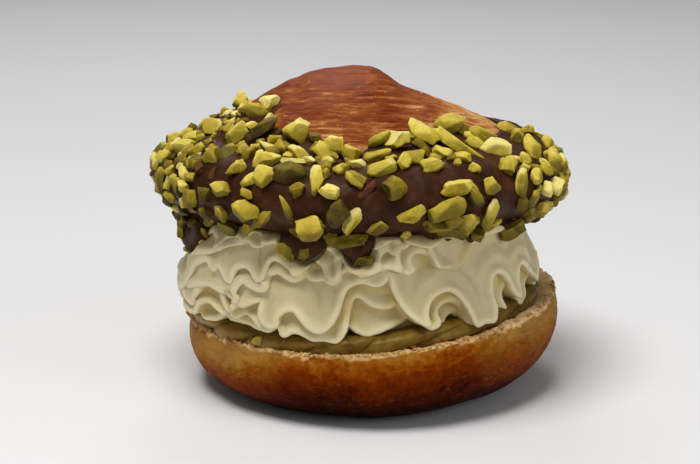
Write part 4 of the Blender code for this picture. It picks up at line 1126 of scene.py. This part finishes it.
nuts = {
    "solidCount": 180,  # as many as the solid has, by the same rule
    "longest": 8.0,
    "shortest": 4.4,
    "spacing": 0.40,  # least distance between two, as a share of their lengths together
    "extraCount": 360,  # smaller ones between them
    "extraLongest": 5.8,
    "extraShortest": 2.2,
    "extraSpacing": 0.31,
    "tries": 400,
    "drawnOn": (1.12, 1.16),  # length and width before the corners are cut off, against those seen
    "seed": 11,
    "snap": {3: 0.14, 4: 0.07},  # how near an edge a direction is moved onto it, by the ball's divisions
    "cuts": 5,  # cuts across the corners of each piece
    "skinned": 0.07,  # share of them with skin on one face
    # least and most turn of each block about its length, its width and the way outwards
    "turns": ((0.25, 0.8), (-0.4, 0.4), (-0.35, 0.35)),
    "sharp": (54, 48),  # degrees between faces that make a sharp edge, in front and elsewhere
}
# The larger ones in front: pixel across and down, length and width in pixels, turn in degrees, and
# shade from 0, dark, to 1, pale, or -1 for a scrap of brown skin
frontNuts = (
    (242, 103, 18, 15, 90, 0.7), (257, 113, 28, 16, -10, 0.52), (271, 105, 20, 13, 15, 0.97),
    (240, 132, 26, 18, 35, 0.66), (266, 131, 34, 13, 22, 0.15), (213, 134, 24, 21, 20, 0.6),
    (228, 153, 24, 13, 85, 0.25), (213, 158, 23, 16, 100, 0.45), (198, 154, 18, 16, 0, 0.48),
    (240, 169, 24, 13, 28, 0.66), (184, 175, 17, 9, -60, 0.92), (191, 199, 20, 15, 60, 0.5),
    (182, 208, 20, 13, -50, 0.48), (222, 190, 22, 14, 5, 0.55), (247, 209, 25, 19, -40, 0.5),
    (265, 178, 19, 17, 60, 0.68), (257, 161, 21, 9, 80, 0.62), (271, 150, 24, 9, -33, 0.82),
    (271, 160, 19, 14, -30, 0.6), (290, 177, 36, 19, -20, 0.12), (292, 161, 27, 9, -8, 0.92),
    (262, 218, 28, 11, 55, 0.48), (289, 211, 30, 8, -68, 0.28), (298, 135, 24, 22, 60, 0.7),
    (300, 152, 22, 11, -25, 0.8), (284, 254, 21, 14, -60, 0.42), (326, 155, 25, 15, -50, 0.7),
    (335, 146, 20, 18, 30, 0.76), (352, 154, 19, 17, 0, 0.62), (315, 184, 31, 12, 88, 0.6),
    (329, 191, 18, 12, -20, 0.74), (355, 179, 21, 14, -45, 0.48), (377, 157, 26, 11, 22, 0.62),
    (381, 169, 29, 16, 20, 0.64), (396, 141, 23, 21, 60, 0.8), (379, 142, 24, 11, 42, 0.46),
    (421, 136, 32, 19, -42, 0.58), (413, 162, 27, 17, -10, 0.5), (392, 189, 24, 20, -30, 0.34),
    (412, 216, 28, 14, 15, 0.6), (313, 223, 24, 22, 20, 0.58), (342, 213, 25, 20, 70, 0.1),
    (353, 221, 28, 12, 58, 0.76), (348, 243, 36, 12, 8, 0.38), (379, 227, 20, 14, 30, 0.33),
    (365, 259, 20, 12, 15, 0.3), (449, 121, 31, 20, 20, 0.58), (457, 148, 60, 15, -40, 0.66),
    (482, 138, 28, 16, -10, 0.54), (496, 151, 31, 22, 12, 0.98), (444, 156, 22, 14, -18, 0.6),
    (433, 167, 21, 14, 30, 0.66), (507, 129, 23, 13, -5, 0.5), (505, 168, 17, 15, 60, 0.52),
    (532, 152, 36, 16, 85, 0.64), (526, 162, 15, 12, -20, 0.78), (549, 164, 25, 20, -60, 0.48),
    (545, 195, 44, 19, -68, 0.62), (520, 184, 27, 12, 78, 0.5), (528, 213, 19, 14, 80, 0.34),
    (489, 185, 19, 15, 40, 0.56), (488, 212, 31, 13, 88, 0.58), (455, 188, 31, 15, 10, 0.68),
    (474, 196, 25, 11, -62, 0.28), (445, 208, 36, 19, 15, 0.48), (468, 218, 22, 18, 50, 0.54),
    (438, 225, 28, 13, -8, 0.4), (452, 234, 34, 9, -6, 0.3), (510, 226, 27, 15, 15, 0.34),
    (187, 148, 22, 13, 10, 0.72), (168, 153, 22, 11, 62, 0.38), (170, 182, 19, 8, 65, 0.76),
    (163, 176, 16, 13, 50, 0.42), (175, 136, 18, 11, 8, 0.74), (231, 127, 18, 9, 80, 0.7),
    (254, 126, 16, 9, -25, 0.8), (212, 121, 14, 9, 0, 0.6), (187, 131, 14, 12, 0, 0.65),
    (192, 142, 16, 12, 0, 0.55), (181, 146, 12, 11, 90, 0.75), (182, 162, 16, 14, 50, 0.3),
    (243, 152, 15, 15, 0, 0.55), (193, 164, 13, 10, 60, 0.65), (179, 186, 18, 12, 90, 0.35),
    (159, 190, 16, 10, 90, 0.45), (206, 194, 16, 14, 90, 0.2), (248, 194, 14, 8, -35, 0.6),
    (223, 211, 18, 12, 90, 0.5), (252, 181, 18, 10, 30, 0.6), (276, 141, 15, 12, 0, 0.45),
    (262, 143, 8, 8, 0, 0.5), (186, 222, 12, 12, 0, 0.3), (208, 232, 14, 7, 90, 0.35),
    (316, 137, 14, 9, -15, 0.3), (315, 150, 14, 10, 70, 0.55), (333, 162, 10, 10, 0, 0.1),
    (325, 175, 14, 8, 90, 0.3), (298, 191, 16, 12, 30, 0.4), (414, 124, 18, 9, 25, 0.65),
    (421, 148, 20, 11, -40, 0.3), (331, 234, 20, 12, 50, 0.35), (296, 232, 16, 9, -35, 0.45),
    (303, 253, 12, 9, 90, 0.35), (460, 128, 14, 14, 0, 0.4), (474, 146, 20, 11, -35, 0.6),
    (468, 137, 12, 10, 0, 0.55), (517, 140, 16, 14, 90, 0.5), (546, 144, 18, 12, 90, 0.6),
    (544, 165, 14, 8, -45, 0.75), (530, 129, 20, 8, -5, 0.4), (562, 172, 14, 12, 90, 0.35),
    (519, 203, 16, 10, 90, 0.3), (451, 218, 18, 14, 0, 0.4), (476, 235, 16, 12, -20, 0.3),
    (555, 212, 16, 8, 20, 0.25), (556, 200, 14, 8, 90, 0.45), (368, 189, 22, 6, 42, -1),
    (212, 176, 14, 4, 80, -1), (283, 131, 7, 5, 0, -1), (387, 149, 7, 4, 0, -1), (155, 172, 16, 6, 15, -1),
    (200, 172, 12, 8, 60, -1), (337, 163, 8, 6, 20, -1), (182, 231, 14, 8, 80, 0.4),
    (194, 224, 12, 10, 0, 0.14), (189, 249, 10, 6, 0, 0.3), (177, 214, 12, 8, 80, 0.3),
)  # fmt: skip


def coatFrame(angle, share):
    # the place on the coat at an angle and a share down it, and the way outwards there
    share = min(share, 1.95)
    here, lower = (np.stack(coatOutside(np.array(s), np.array(angle))) for s in (share, share + 0.02))
    along = (lower - here) / np.linalg.norm(lower - here)
    return turned(*here, angle) + [lid["shift"], 0, 0], turned(-along[1], along[0], angle)


def nutsInFront():
    angle = np.radians(np.arange(-98, 99))[None, :]
    share = np.linspace(-0.05, 2, 83)[:, None]
    pixels = photoPixels(turned(*coatOutside(share, angle), angle) + [lid["shift"], 0, 0])
    ahead, up = photoAxes()
    found = []
    for across, down, length, width, turn, shade in frontNuts:
        off = np.hypot(pixels[..., 0] - across, pixels[..., 1] - down)
        row, column = np.unravel_index(np.argmin(off), off.shape)
        place, outwards = coatFrame(float(angle[0, column]), float(share[row, 0]))
        turn = math.radians(turn)
        direction = np.array([math.cos(turn), 0, 0]) + math.sin(turn) * up
        longer, wider = nuts["drawnOn"]
        size = longer * length * pixelSize, wider * width * pixelSize
        found.append((place, outwards - 0.7 * ahead, *size, direction, shade))
    return found


def nutWanted(angle, share):
    # thick along the crown and at the two ends
    crown = 1 - ease(share, 0.12, 0.34)
    return np.clip(0.25 + crown + 0.7 * np.abs(np.sin(angle)) ** 2, 0, 1)


def scatterNuts(draw, found, lengths, spacing, extra):
    # others all round, the longest first and none too close
    for length in np.sort(lengths)[::-1]:
        for _ in range(nuts["tries"]):
            angle, share, luck = draw.uniform(0, 2 * math.pi), draw.uniform(-0.02, 1.06), draw.uniform()
            place, outwards = coatFrame(angle, share)
            others = np.array([nut[0] for nut in found])
            sizes = np.array([nut[2] for nut in found])
            clear = np.all(np.linalg.norm(others - place, axis=1) > spacing * (length + sizes))
            # at both ends and behind them none stands over the outline
            low = share > 0.42 or not (1.0 < angle < 3.3 or 4.2 < angle < (5.3 if length > 3.8 else 4.8))
            # in front the extra ones are larger and lie along the crown, and the lower edge stays bare
            away = min(angle, 2 * math.pi - angle)
            inFront = share < 0.86 and length > 3.0 and (away > 0.95 or share < 0.3)
            kept = not extra or away > 1.15 or inFront
            if clear and low and kept and luck < nutWanted(angle, share):
                facing = outwards + 0.25 * draw.normal(size=3)
                width = length * draw.uniform(0.6, 0.85)
                found.append((place, facing, length, width, draw.normal(size=3), None))
                break
    return found


def allNuts():
    draw = np.random.default_rng(nuts["seed"])
    found = nutsInFront()
    sizes = nuts["shortest"] * np.exp(draw.gamma(1.7, 0.16, nuts["solidCount"] - len(found)))
    found = scatterNuts(draw, found, np.minimum(sizes, nuts["longest"]), nuts["spacing"], False)
    draw = np.random.default_rng(nuts["seed"] + 1)
    sizes = draw.uniform(nuts["extraShortest"], nuts["extraLongest"], nuts["extraCount"])
    return scatterNuts(draw, found, sizes, nuts["extraSpacing"], True)


def nutMaterial():
    shine = {"Specular_IOR_Level": 0.28, "Specular_Tint": (1.0, 0.92, 0.6, 1.0)}
    make = Maker("pistachioKernel", (0.15, 1.2, (1.0, 0.85, 0.2)), **shine)
    place = make.place()
    cloud = make.noise(place, 2.6, 4, 0.6, 0.4)
    fine = make.noise(place, 0.5, 3, 0.6)
    # the shade attribute is each piece's own tone with painted light: paler on top, darker underneath, with
    # painted highlights along the edges
    tone = make.attribute("shade") + (cloud - 0.5) * 0.42 + (fine - 0.5) * 0.12
    colour = make.ramp(
        tone,
        (0.0, 62, 46, 10), (0.2, 92, 74, 14), (0.42, 128, 108, 24, 1.05), (0.62, 159, 140, 42, 1.28),
        (0.8, 181, 163, 64, 1.38), (1.0, 198, 186, 112, 1.4),
    )  # fmt: skip
    # green inside, scraps of brown skin, and smears of chocolate
    green = make.noise(place, 5, 2, 0.5).smooth(0.48, 0.66) * tone.smooth(0.75, 0.3)
    skin = (make.attribute("skin") * cloud.smooth(0.3, 0.6)).clipped()
    dirty = (make.attribute("smear") + (cloud - 0.5) * 0.8).smooth(0.4, 0.6)
    colour = make.layered(
        colour,
        (green * 0.45, 98, 100, 26, 1.2),
        (skin * 0.8, 92, 44, 22),
        (dirty, 52, 30, 18, 1.2),
    )
    normal = make.bump(fine * 0.6 + make.noise(place, 1.4, 4, 0.65), 0.3)
    return make.finish(Base_Color=colour, Roughness=(0.56 - dirty * 0.22).clipped(), Normal=normal)


def nutShapes(found, divisions, seed):
    # chopped blocks: along each direction of a ball the reach is the least of the distances to the faces of
    # a turned, skewed box and to cuts across its corners; directions close to an edge are moved onto it
    ball, triangles = sphere(divisions)
    draw = np.random.default_rng(seed)
    count, cuts = len(found), nuts["cuts"]
    turns = draw.uniform(*np.array(nuts["turns"]).T, (count, 3)) * draw.choice((-1, 1), (count, 3))
    rolled = np.array([Euler(turn).to_matrix() for turn in turns])
    box = np.concatenate([np.eye(3), -np.eye(3)]) @ rolled + draw.normal(size=(count, 6, 3)) * 0.3
    planes = unit(np.concatenate([box, draw.normal(size=(count, cuts, 3))], axis=1))
    depth = draw.uniform([0.55] * 6 + [0.52] * cuts, [0.84] * 6 + [0.94] * cuts, planes.shape[:2])
    planes = planes / depth[..., None]
    facing = np.einsum("vk,cpk->cvp", ball, planes)
    nearest = np.argsort(facing, axis=-1)[..., -2:]
    second, first = (np.take_along_axis(facing, nearest[..., k : k + 1], -1) for k in (0, 1))
    which = np.arange(count)[:, None]
    across = planes[which, nearest[..., 1]] - planes[which, nearest[..., 0]]
    far = np.linalg.norm(across, axis=-1, keepdims=True)
    off = (first - second) / far
    ball = ball - np.where((off < nuts["snap"][divisions]) & (first > 1), off, 0) * across / far
    ball = unit(ball)
    facing = np.clip(np.einsum("cvk,cpk->cvp", ball, planes), 0, None)
    facing = np.concatenate([facing, np.full((*ball.shape[:2], 1), 0.98)], axis=-1)
    steep = facing.max(axis=-1, keepdims=True)
    shape = ball / steep
    # lumps, large and small
    offset = np.arange(count)[:, None, None] * 7.3
    for strength, size, own in ((0.15, 0.6, seed + 1), (0.045, 0.22, seed + 2)):
        shape *= 1 + strength * lattice(shape + offset, size, own)[..., None]
    shape /= np.abs(shape).max(axis=1, keepdims=True)
    shades = np.array([np.nan if nut[5] is None else nut[5] for nut in found])
    # brown skin on one face of a few of those without a given shade, and all over the scraps
    skinned = (draw.uniform(size=count) < nuts["skinned"]) * np.isnan(shades)
    skin = ease(facing[..., 2] / steep[..., 0], 0.9, 1.0) * skinned[:, None]
    skin = np.maximum(skin, 2 * (shades < 0)[:, None])
    # each face has its own tone, and the edges between faces are paler as a painted highlight
    weights = (facing / steep) ** 20
    faceTones = draw.normal(0.0, 0.1, (count, 1, facing.shape[-1]))
    faceToneAndPaintedLight = (weights * faceTones).sum(axis=-1) / weights.sum(axis=-1)
    faceToneAndPaintedLight = faceToneAndPaintedLight + 0.05 * ease(np.sort(facing / steep, axis=-1)[..., -2], 0.93, 1.0)
    places, outs, lengths, widths, directions = (np.array([nut[i] for nut in found]) for i in range(5))
    thick = widths * draw.uniform(0.75, 1.05, count)
    outs = unit(outs)
    first = unit(directions - outs * (directions * outs).sum(axis=1, keepdims=True))
    # chocolate on the underside, and some on the dark ones
    smear = ease(shape[..., 2], 0.0, -0.7)
    smear = np.maximum(smear, (0.45 * ease(shades, 0.42, 0.1) * (shades >= 0))[:, None])
    local = shape * np.stack([lengths, widths, thick], axis=-1)[:, None] / 2
    middle = places + outs * (thick * draw.uniform(0.16, 0.36, count))[:, None]
    axes = np.stack([first, np.cross(outs, first), outs], axis=1)
    points = middle[:, None] + np.einsum("cvk,ckj->cvj", local, axes)
    faceToneAndPaintedLight = faceToneAndPaintedLight + 0.16 * (points - middle[:, None])[..., 2] / (widths / 2)[:, None]  # painted light: paler on top, darker underneath
    drawn = np.clip(draw.normal(0.52, 0.23, count), 0.05, 1.0)
    shades = np.where(np.isnan(shades), drawn, shades)[:, None] + faceToneAndPaintedLight
    values = {"shade": shades.ravel(), "skin": skin.ravel(), "smear": smear.ravel()}
    return points.reshape(-1, 3), repeatedFaces(triangles, count, ball.shape[1]), values


def makeNutPiece(name, found, divisions, seed, sharp):
    points, faces, values = nutShapes(found, divisions, seed)
    # below the lid nothing comes nearer the middle than the coat does
    reach = np.hypot(points[:, 0] - lid["shift"], points[:, 1])
    low = points[:, 2] < lid["underside"] + 1
    points = narrowed(points, lid["shift"], np.where(low, np.maximum(1, coat["innermost"] / reach), 1))
    piece = addPiece(name, points, [faces], nutMaterial(), "pistachio_pieces", None, values)
    piece.data.set_sharp_from_angle(angle=math.radians(sharp))


def makeNuts():
    found, large = allNuts(), len(frontNuts)
    print("nuts:", len(found))
    makeNutPiece("choppedPistachiosInFront", found[:large], 4, 201, nuts["sharp"][0])
    makeNutPiece("choppedPistachios", found[large:], 3, 211, nuts["sharp"][1])


# Floor, light and camera


def makeStage():
    make = Maker("floor", Roughness=0.9, Specular_IOR_Level=0.1)
    colour = make.mix(make.noise(make.place(), 900, 1) * 0.1, (0.75, 0.755, 0.775), (0.72, 0.725, 0.745))
    material = make.finish(Base_Color=colour)
    mesh = bpy.data.meshes.new("floor")
    mesh.from_pydata([(-4, -4, 0), (4, -4, 0), (4, 6, 0), (-4, 6, 0)], [], [(0, 1, 2, 3)])
    mesh.materials.append(material)
    floor = addObject("floor", mesh)


def addLight(name, place, target, size, power, colour=(1, 1, 1)):
    light = bpy.data.lights.new(name, "AREA")
    light.shape, light.size, light.energy, light.color = "DISK", size, power, colour
    lamp = addObject(name, light)
    lamp.location = place
    lamp.rotation_euler = (Vector(target) - Vector(place)).to_track_quat("-Z", "Y").to_euler()


def makeLight():
    world = bpy.data.worlds.new("studio")
    world.use_nodes = True
    background = world.node_tree.nodes["Background"].inputs
    background["Color"].default_value, background["Strength"].default_value = (1.0, 0.98, 0.95, 1.0), 0.2
    bpy.context.scene.world = world
    middle = (0, 0, 0.05)
    addLight("key", (-0.15, -0.3, 0.91), middle, 0.5, 8.0, (1.0, 0.98, 0.95))
    addLight("fill", (0.8, -0.6, 0.45), middle, 0.6, 1.8)
    addLight("back", (-0.1, 0.75, 0.8), middle, 0.5, 2.4)


def makeCamera():
    data = bpy.data.cameras.new("camera")
    data.lens, data.sensor_width = camera["lens"], 36.0
    data.clip_start, data.clip_end = 0.01, 20.0
    eye = addObject("camera", data)
    ahead, _ = photoAxes()
    aim = Vector(camera["aim"]) * mm
    eye.location = aim - Vector(ahead) * camera["distance"] * mm
    eye.rotation_euler = (aim - eye.location).to_track_quat("-Z", "Y").to_euler()
    bpy.context.scene.camera = eye
    bpy.context.scene.view_settings.view_transform = "Standard"


makeCamera()
makeStage()
makeLight()
makeBun()
makeSpread()
makeFlecks()
makeCrumbs()
makeCream()
makeLid()
makeCoat()
makeNuts()
